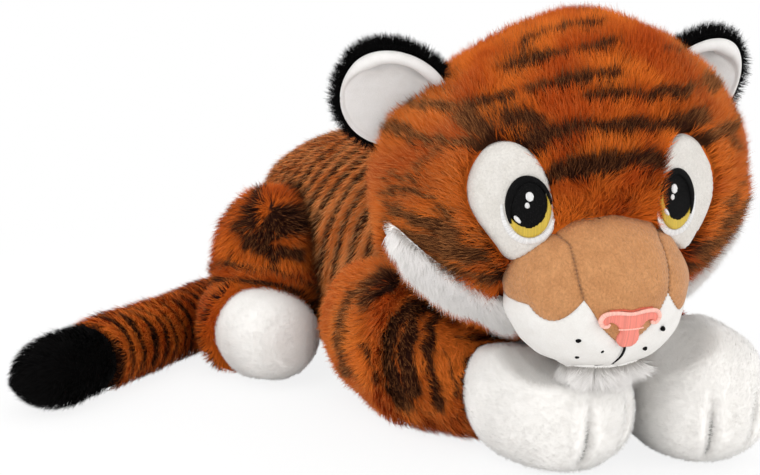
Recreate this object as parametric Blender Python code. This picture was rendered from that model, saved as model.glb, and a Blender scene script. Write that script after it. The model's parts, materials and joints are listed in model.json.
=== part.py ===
"""A plush tiger that lies on its belly with its head over its front paws.

Every stuffed form is one solid, its sewn cover and its fibre filling together. Panels that are
sewn on top of a form, such as the eye patches and the muzzle's five panels, are thin solids that
follow the form below them. Metres, +Z up. The tiger faces -Y, and its right side is at -X.
"""

import math

import bmesh
import bpy
from mathutils import Matrix, Vector

# Seams and clearances
SEAM_GAP = 0.0004
REST_CLEARANCE = 0.0014
FLOOR_CUT = 0.0005
CUTTER_REACH = 0.400

# Body
TORSO_LENGTH = 0.280
CHEST_Y = -0.128
TORSO_MIDDLE_Y = CHEST_Y + TORSO_LENGTH / 2
RUMP_Y = CHEST_Y + TORSO_LENGTH
TORSO_WIDTH = 0.160
TORSO_HEIGHT = 0.154
RUMP_DROP_SHARE = 0.06
CHEST_DROP_SHARE = 0.10
CHEST_BLUNTNESS = 0.82
BELLY_FLATNESS = 0.75

# Neck, head and the way the head is turned
NECK_Y = -0.110
HEAD_TURN = math.radians(-20)
HEAD_TURN_RANGE = math.radians(10)
HEAD_Y = -0.200
HEAD_Z = 0.160
HEAD_WIDTH = 0.216
HEAD_DEPTH = 0.208
HEAD_ABOVE = 0.108
HEAD_BELOW = 0.086
CHEEK_SHARE = 0.05

# Muzzle: five fabric panels over the stuffing
MUZZLE_Y = -0.283
MUZZLE_Z = 0.118
MUZZLE_WIDTH = 0.110
MUZZLE_DEPTH = 0.100
MUZZLE_HEIGHT = 0.096
PANEL_THICK = 0.0022
BRIDGE_TOP_HALF = 0.029
BRIDGE_NOTCH_HALF = 0.025
BRIDGE_NOTCH_Z = 0.122
BRIDGE_TIP_Z = 0.0925
BRIDGE_SIDE_SHARES = ((0.84, 0.36), (0.62, 0.66), (0.34, 0.90))
CHEEK_LOBE_X = 0.039
CHEEK_LOBE_Z = 0.106
CHEEK_EDGE_Z = 0.112

# Embroidery and patches, all measured on the front of the face
THREAD_THICK = 0.0014
PATCH_THICK = 0.0016
PATCH_X = 0.053
PATCH_Z = 0.174
PATCH_HALF_WIDTH = 0.022
PATCH_ABOVE = 0.032
PATCH_BELOW = 0.039
PATCH_LEAN = 0.004
EYE_X = 0.0445
EYE_Z = 0.169
EYE_HALF_WIDTH = 0.0134
EYE_HALF_HEIGHT = 0.0190
LID_SHIFT_X = 0.0022
LID_SHIFT_Z = 0.0058
NOSE_HALF_WIDTH = 0.0175
NOSE_TOP_Z = 0.1165
NOSE_WING_HEIGHT = 0.0095
NOSE_STEM_HALF = 0.0062
NOSE_TIP_Z = 0.0955
NOSE_WING_SHARES = ((0.45, 0.02), (0.72, 0.13), (0.93, 0.06), (1.0, -0.25), (0.97, -0.60), (0.84, -0.92),
                    (0.78, -0.84), (0.80, -0.66), (0.70, -0.56), (0.56, -0.66), (0.46, -0.86))
NOSE_STEM_SHARES = ((0.92, 0.12), (1.10, 0.40), (1.0, 0.68), (0.62, 0.92))
MOUTH_TOP_Z = 0.0925
MOUTH_LOW_Z = 0.0800
MOUTH_WIDTH = 0.0016

# White long-pile trim of the jaw
RUFF_THICK = 0.004
RUFF_HEIGHT = 0.025
RUFF_END_HEIGHT = 0.012
RUFF_OUTER_X = 0.105
RUFF_MIDDLE_X = 0.088
RUFF_INNER_X = 0.042
RUFF_OUTER_Z = 0.1360
RUFF_INNER_Z = 0.096
TUFT_HALF_WIDTH = 0.027
TUFT_TOP_Z = 0.077
TUFT_FRONT_Y = -0.312
TUFT_BACK_Y = -0.268

# Ears
EAR_HALF_WIDTH = 0.036
EAR_HALF_HEIGHT = 0.041
EAR_CUP = 0.016
EAR_RIM = 0.005
EAR_LINING_THICK = 0.0020
EAR_LINING_GAP = 0.00064
EAR_LINING_INSET_SHARE = 0.02
EAR_BACK_SHARES = ((0.0, 1.0), (0.45, 0.86), (0.78, 0.50))
EAR_RIM_SHARES = ((0.97, 0.35), (1.0, -0.25), (0.94, -1.0))
EAR_LIP_SHARES = ((0.86, -0.55),)
EAR_BOWL_SHARES = ((0.66, 0.18), (0.36, 0.42), (0.0, 0.50))
EAR_STAND = 0.007
EAR_ELEVATION = math.radians(33)
EAR_FACING = math.radians(38)
EAR_BACK_Y = 0.004
EAR_FOLD_RANGE = math.radians(25)
EAR_HINGE_IN = 0.012

# Front legs and paws: the toy lies with both legs reaching to its right
SHOULDER_X = 0.070
SHOULDER_Y = -0.048
FRONT_SPLAY_RANGE = math.radians(12)
FRONT_LEG_WIDTH_TOP = 0.082
FRONT_LEG_WIDTH_WRIST = 0.064
FRONT_LEG_HEIGHT_TOP = 0.104
FRONT_LEG_HEIGHT_WRIST = 0.074
FRONT_ROOT = (0.082, -0.036)
FRONT_WRIST_RIGHT = (-0.064, -0.207)
FRONT_WRIST_LEFT = (0.028, -0.242)
FRONT_BOW_RIGHT = 0.016
FRONT_BOW_LEFT = 0.034
PAW_WIDTH = 0.078
PAW_LENGTH = 0.110
PAW_HEIGHT = 0.083
PAW_AHEAD = 0.028
PAW_SQUARENESS = 0.80
SOLE_FLATNESS = 0.80
TOE_GROOVE = 0.0050
TOE_GROOVE_ANGLE = math.radians(15)
TOE_GROOVE_SPREAD = math.radians(6)
RIGHT_PAW_YAW = math.radians(4)
LEFT_PAW_YAW = math.radians(-12)

# Rear legs and feet
HIP_X = 0.076
HIP_Y = 0.088
REAR_SPLAY_RANGE = math.radians(12)
HAUNCH_X = 0.080
HAUNCH_Y = 0.047
HAUNCH_Z = 0.067
HAUNCH_WIDTH = 0.082
HAUNCH_LENGTH = 0.108
HAUNCH_HEIGHT = 0.120
FOOT_X = 0.105
FOOT_Y = 0.029
FOOT_YAW = math.radians(10)
FOOT_WIDTH = 0.070
FOOT_HEIGHT = 0.064
FOOT_LENGTH = 0.110
FOOT_SEAM_AHEAD = 0.004

# Tail
TAIL_ROOT_Y = RUMP_Y - 0.014
TAIL_ROOT_Z = 0.038
TAIL_BEND = (-0.060, 0.152)
TAIL_SWEEP = (-0.150, 0.078)
TAIL_END = (-0.288, 0.022)
TAIL_RADIUS_ROOT = 0.020
TAIL_RADIUS_MIDDLE = 0.022
TAIL_RADIUS_TIP = 0.025
TAIL_TIP_SHARE = 0.825
TAIL_END_SHARE = 0.080
TAIL_SETTLE_RATE = 2.6
TAIL_SWING_BACK = math.radians(40)

# Mesh fineness
TORSO_RINGS, TORSO_SIDES = 20, 30
HEAD_RINGS, HEAD_SIDES = 18, 32
MUZZLE_RINGS, MUZZLE_SIDES = 16, 28
LIMB_RINGS, LIMB_SIDES = 16, 18
HAUNCH_RINGS, HAUNCH_SIDES = 12, 20
PAW_RINGS, PAW_SIDES = 12, 48
FOOT_RINGS, FOOT_SIDES = 12, 20
TAIL_RINGS, TAIL_SIDES, TAIL_END_RINGS = 22, 16, 4
EAR_SIDES = 24
OUTLINE_POINTS = 24
SWING_STEPS = 4

COLOURS = {
    "long_pile": ((0.52, 0.17, 0.03), 0.95),
    "white_plush": ((0.86, 0.84, 0.81), 0.95),
    "white_velboa": ((0.88, 0.87, 0.85), 0.85),
    "tan_minky": ((0.46, 0.26, 0.13), 0.80),
    "black_plush": ((0.012, 0.011, 0.011), 0.95),
    "pink_thread": ((0.80, 0.26, 0.24), 0.50),
    "black_thread": ((0.015, 0.014, 0.014), 0.50),
    "gold_thread": ((0.62, 0.44, 0.07), 0.45),
}


def start_empty():
    for obj in list(bpy.data.objects):
        bpy.data.objects.remove(obj)


def fabric(slot):
    """The material of one slot, made the first time that it is asked for."""
    if slot in bpy.data.materials:
        return bpy.data.materials[slot]
    colour, roughness = COLOURS[slot]
    made = bpy.data.materials.new(slot)
    made.use_nodes = True
    shader = made.node_tree.nodes["Principled BSDF"]
    shader.inputs["Base Color"].default_value = (*colour, 1)
    shader.inputs["Roughness"].default_value = roughness
    shader.inputs["Metallic"].default_value = 0
    made.diffuse_color = (*colour, 1)
    return made


def pivot(name, location, turn=0.0, parent=None):
    """An empty on a joint's axis."""
    empty = bpy.data.objects.new(name, None)
    empty.location = Vector(location) - (parent.location if parent else Vector())
    empty.rotation_euler.z = turn
    empty.parent = parent
    bpy.context.scene.collection.objects.link(empty)
    return empty


def unturned(carrier):
    """Where a pivot is in the frame that its pieces are drawn in, before the head is turned."""
    return carrier.location + (unturned(carrier.parent) if carrier.parent else Vector())


def add_piece(name, mesh_data, carrier, slot=None):
    """Places a drawn mesh on its carrier's axis. A piece with no slot is a cutter."""
    place = unturned(carrier) if carrier else Vector()
    mesh_data.transform(Matrix.Translation(-place))
    mesh = bpy.data.meshes.new(name)
    mesh_data.to_mesh(mesh)
    mesh_data.free()
    obj = bpy.data.objects.new(name, mesh)
    obj.parent = carrier
    bpy.context.scene.collection.objects.link(obj)
    if slot:
        mesh.materials.append(fabric(slot))
        mesh.shade_smooth()
        mesh.set_sharp_from_angle(angle=math.radians(40))
    else:
        obj.hide_render = True
        obj.display_type = "WIRE"
    return obj


def cut(obj, operation, *cutters):
    """Keeps or takes away what each cutter covers."""
    for cutter in cutters:
        step = obj.modifiers.new(operation.title(), "BOOLEAN")
        step.operation = operation
        step.solver = "EXACT"
        step.object = cutter


def closed_form(rings, sides, place):
    """A closed mesh from place(u, v), u from one pole to the other and v round the axis."""
    bm = bmesh.new()
    first = bm.verts.new(place(0.0, 0.0))
    loops = []
    for i in range(1, rings):
        u = math.pi * i / rings
        loops.append([bm.verts.new(place(u, 2 * math.pi * j / sides)) for j in range(sides)])
    last = bm.verts.new(place(math.pi, 0.0))
    for j in range(sides):
        k = (j + 1) % sides
        bm.faces.new((first, loops[0][j], loops[0][k]))
        for near, far in zip(loops, loops[1:]):
            bm.faces.new((near[j], far[j], far[k], near[k]))
        bm.faces.new((last, loops[-1][k], loops[-1][j]))
    bmesh.ops.recalc_face_normals(bm, faces=bm.faces)
    return bm


def split_off(bm, point, normal):
    """Keeps the side of a plane that its normal points away from, closed with a flat face."""
    cut_part = bmesh.ops.bisect_plane(
        bm, geom=bm.verts[:] + bm.edges[:] + bm.faces[:], plane_co=point, plane_no=normal,
        clear_outer=True,
    )
    rim = [e for e in cut_part["geom_cut"] if isinstance(e, bmesh.types.BMEdge)]
    bmesh.ops.holes_fill(bm, edges=rim)
    bmesh.ops.recalc_face_normals(bm, faces=bm.faces)
    return bm


def laid_on_floor(bm):
    """Cuts a form flat where it rests on the floor."""
    return split_off(bm, (0, 0, 0), (0, 0, -1))


def outline_prism(points, depth_from=-CUTTER_REACH, depth_to=HEAD_Y):
    """A prism along Y through a closed outline of (x, z) points, back to the middle of the head."""
    bm = bmesh.new()
    front = [bm.verts.new((x, depth_from, z)) for x, z in points]
    back = [bm.verts.new((x, depth_to, z)) for x, z in points]
    bm.faces.new(front)
    bm.faces.new(back[::-1])
    for i in range(len(points)):
        k = (i + 1) % len(points)
        bm.faces.new((front[i], back[i], back[k], front[k]))
    bmesh.ops.recalc_face_normals(bm, faces=bm.faces)
    return bm


def between(a, b, share):
    return a + (b - a) * share


def smooth_share(share):
    share = min(max(share, 0.0), 1.0)
    return share * share * (3 - 2 * share)


def curve_point(points, share):
    """A point on the Bezier curve of three or four control points."""
    points = [Vector(p) for p in points]
    while len(points) > 1:
        points = [a.lerp(b, share) for a, b in zip(points, points[1:])]
    return points[0]


def squared(value, power):
    """Raises the size of a value and keeps its sign; a power below 1 makes a round outline boxier."""
    return math.copysign(abs(value) ** power, value)


def turned(location, axis, angle):
    """The turn by an angle about an axis through a place."""
    place = Matrix.Translation(location)
    return place @ Matrix.Rotation(angle, 4, axis) @ place.inverted()


def swing_angles(last, first=0.0):
    return [between(first, last, i / (SWING_STEPS - 1)) for i in range(SWING_STEPS)]


def torso_form(grow=0.0):
    """A loaf that is fullest at the belly and lower at the rump and the chest."""
    half_length = TORSO_LENGTH / 2 + grow
    half_width = TORSO_WIDTH / 2 + grow
    half_height = (TORSO_HEIGHT + FLOOR_CUT) / 2 + grow

    def place(u, v):
        along = math.cos(u)
        round_share = squared(math.sin(u), CHEST_BLUNTNESS if along < 0 else 1.0)
        drop = RUMP_DROP_SHARE if along > 0 else CHEST_DROP_SHARE
        x = half_width * round_share * math.cos(v)
        z = half_height * round_share * math.sin(v)
        if z > 0:
            z *= 1 - drop * along * along
        else:
            z = half_height * round_share * squared(math.sin(v), BELLY_FLATNESS)
        return (x, TORSO_MIDDLE_Y + half_length * along, (TORSO_HEIGHT - FLOOR_CUT) / 2 + z)

    return closed_form(TORSO_RINGS, TORSO_SIDES, place)


def head_form(grow=0.0):
    """A ball that is wider at the cheeks than at the crown, drawn before the head is turned."""

    def place(u, v):
        height = math.cos(u)
        reach = HEAD_ABOVE if height > 0 else HEAD_BELOW
        cheek = 1 + CHEEK_SHARE * math.sin(math.pi * min(max((0.45 - height), 0.0), 1.0))
        x = (HEAD_WIDTH / 2 + grow) * math.sin(u) * math.cos(v) * cheek
        y = HEAD_Y + (HEAD_DEPTH / 2 + grow) * math.sin(u) * math.sin(v)
        return (x, y, HEAD_Z + (reach + grow) * height)

    return closed_form(HEAD_RINGS, HEAD_SIDES, place)


def muzzle_form(grow=0.0):
    def place(u, v):
        x = (MUZZLE_WIDTH / 2 + grow) * math.sin(u) * math.cos(v)
        y = MUZZLE_Y + (MUZZLE_DEPTH / 2 + grow) * math.sin(u) * math.sin(v)
        return (x, y, MUZZLE_Z + (MUZZLE_HEIGHT / 2 + grow) * math.cos(u))

    return closed_form(MUZZLE_RINGS, MUZZLE_SIDES, place)


def underside(x, y, turn):
    """How low the turned head, its muzzle and their white trim hang over a point."""
    away = Matrix.Rotation(-turn, 2) @ Vector((x, y - NECK_Y))
    lowest = math.inf
    grow = RUFF_THICK + SEAM_GAP + REST_CLEARANCE
    for middle_y, middle_z, wide, deep, low in (
        (HEAD_Y, HEAD_Z, HEAD_WIDTH / 2 * (1 + CHEEK_SHARE), HEAD_DEPTH / 2, HEAD_BELOW),
        (MUZZLE_Y, MUZZLE_Z, MUZZLE_WIDTH / 2, MUZZLE_DEPTH / 2, MUZZLE_HEIGHT / 2),
    ):
        off_x = away.x / (wide + grow)
        off_y = (away.y + NECK_Y - middle_y) / (deep + grow)
        inside = 1 - off_x * off_x - off_y * off_y
        if inside > 0:
            lowest = min(lowest, middle_z - (low + grow) * math.sqrt(inside))
    return lowest


def pressed(point, shoulder, splay_sign):
    """Lowers a point of a leg or paw to where the head rests on it, wherever the two are turned."""
    limit = math.inf
    for leg_step in range(4):
        splay = Matrix.Rotation(splay_sign * FRONT_SPLAY_RANGE * leg_step / 3, 2)
        place = splay @ Vector((point[0] - shoulder.x, point[1] - shoulder.y))
        for head_step in range(-2, 3):
            turn = HEAD_TURN + HEAD_TURN_RANGE * head_step / 2
            limit = min(limit, underside(place.x + shoulder.x, place.y + shoulder.y, turn))
    return (point[0], point[1], min(point[2], limit))


def swept(name, form, location, angles, axis="Z", carrier=None):
    """Cutters: a form as it lies at each of these turns about an axis, upright if none is given."""
    made = []
    for i, angle in enumerate(angles):
        bm = form(SEAM_GAP)
        bm.transform(turned(location, axis, angle))
        made.append(add_piece(f"{name}_{i}", bm, carrier))
    return made


def make_torso():
    add_piece("torso", laid_on_floor(torso_form()), None, "long_pile")


def make_head(neck):
    """The head with its muzzle stuffing, hollowed at the back where the chest sits."""
    head = add_piece("head", head_form(), neck, "long_pile")
    core = add_piece("muzzle_core", muzzle_form(-PANEL_THICK - SEAM_GAP), neck)
    cut(head, "UNION", core)
    steps = swing_angles(HEAD_TURN_RANGE, -HEAD_TURN_RANGE)
    cut(head, "DIFFERENCE", *swept("chest", torso_form, neck.location, steps))


def bridge_outline(grow=0.0):
    """The tan panel from the forehead down to the nose, a shield with a pointed tip."""
    top = MUZZLE_Z + MUZZLE_HEIGHT
    right = [
        (BRIDGE_TOP_HALF + grow, top),
        (BRIDGE_TOP_HALF + grow, MUZZLE_Z + MUZZLE_HEIGHT / 4),
        (BRIDGE_NOTCH_HALF + grow, BRIDGE_NOTCH_Z - grow),
    ]
    right += [(BRIDGE_NOTCH_HALF * out + grow, between(BRIDGE_NOTCH_Z, BRIDGE_TIP_Z, down) - grow)
              for out, down in BRIDGE_SIDE_SHARES]
    left = [(-x, z) for x, z in reversed(right)]
    return right + [(0.0, BRIDGE_TIP_Z - 2 * grow)] + left


def cheek_outline(side, grow=0.0):
    """The tan panel beside the bridge, with a rounded lobe at its lower edge."""
    top = MUZZLE_Z + MUZZLE_HEIGHT
    inner = BRIDGE_NOTCH_HALF - SEAM_GAP
    points = [(inner, top), (MUZZLE_WIDTH, top), (MUZZLE_WIDTH, CHEEK_EDGE_Z - grow)]
    lobe_half = CHEEK_LOBE_X - inner
    for i in range(OUTLINE_POINTS // 3 + 1):
        angle = math.pi * i / (OUTLINE_POINTS // 3)
        x = CHEEK_LOBE_X + (lobe_half + grow) * math.cos(angle)
        drop = (between(CHEEK_EDGE_Z, BRIDGE_NOTCH_Z, i / (OUTLINE_POINTS // 3)) - CHEEK_LOBE_Z)
        z = CHEEK_LOBE_Z + drop - (drop + grow) * math.sin(angle)
        points.append((x, z))
    return [(side * x, z) for x, z in points]


def make_muzzle(neck):
    """Five panels: the bridge, two tan cheeks and two white lower panels that meet below."""
    head_cut = add_piece("head_for_panels", head_form(SEAM_GAP), neck)
    core_cut = add_piece("core_for_panels", muzzle_form(-PANEL_THICK), neck)
    wide = MUZZLE_WIDTH

    def panel(name, slot, *steps):
        obj = add_piece(name, muzzle_form(), neck, slot)
        cut(obj, "DIFFERENCE", core_cut, head_cut)
        for operation, outline in steps:
            cutter = add_piece(f"{name}_outline", outline_prism(outline), neck)
            cut(obj, operation, cutter)

    panel("muzzle_bridge", "tan_minky", ("INTERSECT", bridge_outline()))
    for side, word in ((-1, "right"), (1, "left")):
        panel(f"muzzle_cheek_{word}", "tan_minky",
              ("INTERSECT", cheek_outline(side)), ("DIFFERENCE", bridge_outline(SEAM_GAP)))
        half = [(side * SEAM_GAP / 2, -wide), (side * wide, -wide),
                (side * wide, 2 * wide), (side * SEAM_GAP / 2, 2 * wide)]
        panel(f"muzzle_lower_{word}", "white_velboa", ("INTERSECT", half),
              ("DIFFERENCE", cheek_outline(side, SEAM_GAP)), ("DIFFERENCE", bridge_outline(SEAM_GAP)))


def applied(name, slot, carrier, outline, form, lift, thick, *away):
    """A flat piece sewn or stitched on a form: its outline, bent to the form at a small height."""
    middle = MUZZLE_Y if form is muzzle_form else HEAD_Y
    obj = add_piece(name, outline_prism(outline, depth_to=middle), carrier, slot)
    over = add_piece(f"{name}_over", form(lift + thick), carrier)
    under = add_piece(f"{name}_under", form(lift), carrier)
    cut(obj, "INTERSECT", over)
    cut(obj, "DIFFERENCE", under, *away)
    return obj


def patch_outline(side):
    """An egg that runs out to a blunt point at the lower, outer end."""
    points = []
    for i in range(OUTLINE_POINTS):
        angle = 2 * math.pi * i / OUTLINE_POINTS
        up = math.sin(angle)
        reach = PATCH_ABOVE if up > 0 else PATCH_BELOW
        waist = 1 - 0.30 * max(-up, 0.0) ** 2
        x = PATCH_X + PATCH_HALF_WIDTH * math.cos(angle) * waist - PATCH_LEAN * up
        points.append((side * x, PATCH_Z + reach * up))
    return points


def eye_outline(side, grow=0.0, shift_x=0.0, shift_z=0.0):
    return [
        (side * (EYE_X + shift_x + (EYE_HALF_WIDTH + grow) * math.cos(2 * math.pi * i / OUTLINE_POINTS)),
         EYE_Z + shift_z + (EYE_HALF_HEIGHT + grow) * math.sin(2 * math.pi * i / OUTLINE_POINTS))
        for i in range(OUTLINE_POINTS)
    ]


def make_eyes(neck):
    """White patches with an embroidered eye: black pupil and lid, and a gold crescent below."""
    muzzle_cut = add_piece("muzzle_for_patches", muzzle_form(SEAM_GAP), neck)
    thread_lift = SEAM_GAP + PATCH_THICK + SEAM_GAP
    for side, word in ((-1, "right"), (1, "left")):
        applied(f"eye_patch_{word}", "white_velboa", neck, patch_outline(side), head_form,
                SEAM_GAP, PATCH_THICK, muzzle_cut)
        lid = eye_outline(side, 0.0, LID_SHIFT_X, LID_SHIFT_Z)
        pupil = applied(f"pupil_{word}", "black_thread", neck, eye_outline(side), head_form,
                        thread_lift, THREAD_THICK)
        keep = add_piece(f"pupil_{word}_lid", outline_prism(lid), neck)
        cut(pupil, "INTERSECT", keep)
        wider = eye_outline(side, SEAM_GAP, LID_SHIFT_X, LID_SHIFT_Z)
        wider = add_piece(f"iris_{word}_lid", outline_prism(wider), neck)
        applied(f"iris_{word}", "gold_thread", neck, eye_outline(side), head_form,
                thread_lift, THREAD_THICK, wider)


def nose_outline():
    """Two rounded nostril wings over a stem that ends in a round tip."""
    wing_low = NOSE_TOP_Z - NOSE_WING_HEIGHT
    wing = [(NOSE_HALF_WIDTH * out, NOSE_TOP_Z + NOSE_WING_HEIGHT * up) for out, up in NOSE_WING_SHARES]
    stem = [(NOSE_STEM_HALF * out, between(wing_low, NOSE_TIP_Z, down))
            for out, down in NOSE_STEM_SHARES]
    right = wing + stem
    left = [(-x, z) for x, z in reversed(right)]
    return [(0.0, NOSE_TOP_Z)] + right + [(0.0, NOSE_TIP_Z)] + left


def make_nose_and_mouth(neck):
    applied("nose", "pink_thread", neck, nose_outline(), muzzle_form, SEAM_GAP, THREAD_THICK)
    half = MOUTH_WIDTH / 2
    line = [(-half, MOUTH_TOP_Z), (half, MOUTH_TOP_Z), (half, MOUTH_LOW_Z), (-half, MOUTH_LOW_Z)]
    applied("mouth_stitch", "black_thread", neck, line, muzzle_form, SEAM_GAP, THREAD_THICK)


def make_jaw_trim(neck):
    """White long-pile strips along both cheeks, and a tuft below the chin."""
    muzzle_cut = add_piece("muzzle_for_trim", muzzle_form(SEAM_GAP), neck)
    steps = swing_angles(HEAD_TURN_RANGE, -HEAD_TURN_RANGE)
    chest_cut = swept("chest_for_trim", torso_form, neck.location, steps)
    middle_share = (RUFF_OUTER_X - RUFF_MIDDLE_X) / (RUFF_OUTER_X - RUFF_INNER_X)
    strip = [(RUFF_OUTER_X, RUFF_OUTER_Z), (RUFF_INNER_X, RUFF_INNER_Z),
             (RUFF_INNER_X, RUFF_INNER_Z - RUFF_HEIGHT),
             (RUFF_MIDDLE_X, between(RUFF_OUTER_Z, RUFF_INNER_Z, middle_share) - RUFF_HEIGHT),
             (RUFF_OUTER_X, RUFF_OUTER_Z - RUFF_END_HEIGHT)]
    for side, word in ((-1, "right"), (1, "left")):
        applied(f"ruff_{word}", "white_plush", neck, [(side * x, z) for x, z in strip], head_form,
                SEAM_GAP, RUFF_THICK, muzzle_cut, *chest_cut)
    half = TUFT_HALF_WIDTH
    low = -MUZZLE_HEIGHT
    tuft = add_piece("chin_tuft", outline_prism(
        [(-half, low), (half, low), (half, TUFT_TOP_Z), (-half, TUFT_TOP_Z)],
        TUFT_FRONT_Y, TUFT_BACK_Y), neck, "white_plush")
    head_cut = add_piece("head_for_tuft", head_form(SEAM_GAP), neck)
    cut(tuft, "INTERSECT", add_piece("tuft_over", muzzle_form(SEAM_GAP + RUFF_THICK), neck))
    cut(tuft, "DIFFERENCE", muzzle_cut, head_cut)


def dish(profile, frame):
    """A closed oval dish from (share of the radius, depth) points, first and last on the axis."""
    bm = bmesh.new()
    ends = [bm.verts.new(frame @ Vector((0, depth, 0))) for _, depth in (profile[0], profile[-1])]
    loops = []
    for share, depth in profile[1:-1]:
        loop = []
        for j in range(EAR_SIDES):
            angle = 2 * math.pi * j / EAR_SIDES
            x, z = EAR_HALF_WIDTH * share * math.cos(angle), EAR_HALF_HEIGHT * share * math.sin(angle)
            loop.append(bm.verts.new(frame @ Vector((x, depth, z))))
        loops.append(loop)
    for j in range(EAR_SIDES):
        k = (j + 1) % EAR_SIDES
        bm.faces.new((ends[0], loops[0][j], loops[0][k]))
        for near, far in zip(loops, loops[1:]):
            bm.faces.new((near[j], far[j], far[k], near[k]))
        bm.faces.new((ends[1], loops[-1][k], loops[-1][j]))
    bmesh.ops.recalc_face_normals(bm, faces=bm.faces)
    return bm


def ear_frame(side):
    """The ear's own frame: -Y is the way it faces and +Z runs out from the head."""
    out = Vector((side * math.cos(EAR_ELEVATION), 0, math.sin(EAR_ELEVATION)))
    facing = Matrix.Rotation(side * EAR_FACING, 4, "Z") @ Vector((0, -1, 0))
    ahead = (facing - out * facing.dot(out)).normalized()
    across = (-ahead).cross(out)
    turn = Matrix((across, -ahead, out)).transposed().to_4x4()
    head_reach = 1 / math.hypot(2 * out.x / HEAD_WIDTH, out.z / HEAD_ABOVE)
    middle = Vector((0, HEAD_Y + EAR_BACK_Y, HEAD_Z)) + out * (head_reach + EAR_STAND)
    return Matrix.Translation(middle) @ turn, out, across, middle


def make_ears(neck):
    """Each ear is a black long-pile cup with a white lining, and folds back on its seam."""
    back = [(radius, EAR_CUP * depth) for radius, depth in EAR_BACK_SHARES]
    rim = [(radius, EAR_RIM * depth) for radius, depth in EAR_RIM_SHARES]
    lip = [(radius, EAR_RIM * depth) for radius, depth in EAR_LIP_SHARES]
    bowl = lip + [(radius, EAR_CUP * depth) for radius, depth in EAR_BOWL_SHARES]
    seat = [(max(radius - EAR_LINING_INSET_SHARE, 0.0), depth - EAR_LINING_GAP)
            for radius, depth in bowl]
    face = [(radius, depth - EAR_LINING_THICK) for radius, depth in reversed(seat)]
    for side, word in ((-1, "right"), (1, "left")):
        frame, out, across, middle = ear_frame(side)
        hinge = pivot(f"ear_{word}_fold", middle - out * EAR_HINGE_IN, 0.0, neck)
        away = swept(f"head_for_ear_{word}", head_form, middle - out * EAR_HINGE_IN,
                     swing_angles(EAR_FOLD_RANGE), across, hinge)
        cup = add_piece(f"ear_back_{word}", dish(back + rim + bowl, frame), hinge, "black_plush")
        lining = add_piece(f"ear_lining_{word}", dish(face + seat, frame), hinge, "white_velboa")
        cut(cup, "DIFFERENCE", *away)
        cut(lining, "DIFFERENCE", *away)


def limb_form(points, half_widths, half_heights, grow=0.0, blunt=0.55, rings=None, sides=None):
    """A stuffed limb that lies on the floor along a curve of (x, y) points, swelling as it goes."""

    def place(u, v):
        share = (1 - math.cos(u)) / 2
        middle = curve_point(points, share)
        ahead = (curve_point(points, min(share + 0.01, 1)) - curve_point(points, max(share - 0.01, 0)))
        across = Vector((ahead.y, -ahead.x)).normalized()
        round_share = squared(math.sin(u), blunt)
        eased = smooth_share(share)
        half_width = between(half_widths[0], half_widths[1], eased) + grow
        half_height = between(half_heights[0], half_heights[1], eased)
        side = across * half_width * round_share * math.cos(v)
        z = half_height - FLOOR_CUT + (half_height + grow) * round_share * math.sin(v)
        return (middle.x + side.x, middle.y + side.y, z)

    return closed_form(rings or LIMB_RINGS, sides or LIMB_SIDES, place)


def paw_form(middle, yaw, grow=0.0):
    """A full paw with two stitched grooves between three toes."""
    turn = Matrix.Rotation(yaw, 2)

    def place(u, v):
        fullness = squared(math.sin(u), PAW_SQUARENESS)
        depth = 0.0
        for groove in (-1, 1):
            off = (v - 1.5 * math.pi - groove * TOE_GROOVE_ANGLE) / TOE_GROOVE_SPREAD
            depth += TOE_GROOVE * math.exp(-off * off)
        depth *= smooth_share(1.25 * math.sin(u) - 0.15)
        flat = Vector((
            (PAW_WIDTH / 2 + grow) * fullness * squared(math.cos(v), PAW_SQUARENESS),
            (PAW_LENGTH / 2 + grow - depth) * fullness * squared(math.sin(v), PAW_SQUARENESS),
        ))
        flat = turn @ flat
        up = squared(math.cos(u), SOLE_FLATNESS if u > math.pi / 2 else 1.0)
        z = PAW_HEIGHT / 2 - FLOOR_CUT + (PAW_HEIGHT / 2 + grow) * up
        return (middle.x + flat.x, middle.y + flat.y, z)

    return closed_form(PAW_RINGS, PAW_SIDES, place)


def press_mesh(bm, shoulder, splay_sign):
    for vert in bm.verts:
        vert.co = pressed(vert.co, shoulder, splay_sign)
    return bm


def make_front_leg(side, word, wrist, bow, yaw):
    """A leg that comes out of the shoulder, and the white paw that its end is sewn to."""
    shoulder = pivot(f"shoulder_{word}", (side * SHOULDER_X, SHOULDER_Y, 0))
    root = Vector((side * FRONT_ROOT[0], FRONT_ROOT[1]))
    wrist = Vector(wrist)
    elbow = (root + wrist) / 2 + Vector((side * bow, 0))
    ahead = Matrix.Rotation(yaw, 2) @ Vector((0, -PAW_AHEAD))
    middle = wrist + ahead

    def leg(grow=0.0):
        return limb_form((root, elbow, wrist), (FRONT_LEG_WIDTH_TOP / 2, FRONT_LEG_WIDTH_WRIST / 2),
                         (FRONT_LEG_HEIGHT_TOP / 2, FRONT_LEG_HEIGHT_WRIST / 2), grow)

    body = press_mesh(leg(), shoulder.location, side)
    obj = add_piece(f"front_leg_{word}", laid_on_floor(body), shoulder, "long_pile")
    steps = swing_angles(-side * FRONT_SPLAY_RANGE)
    cut(obj, "DIFFERENCE", *swept(f"torso_for_leg_{word}", torso_form, shoulder.location, steps))
    cut(obj, "DIFFERENCE", *swept(f"foot_for_leg_{word}", lambda grow: lower_leg_form(side, grow),
                                  shoulder.location, steps))
    paw_cut = press_mesh(paw_form(middle, yaw, SEAM_GAP), shoulder.location, side)
    cut(obj, "DIFFERENCE", add_piece(f"paw_for_leg_{word}", raised_cut(paw_cut), shoulder))
    paw = press_mesh(paw_form(middle, yaw), shoulder.location, side)
    add_piece(f"front_paw_{word}", laid_on_floor(paw), shoulder, "white_plush")


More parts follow.
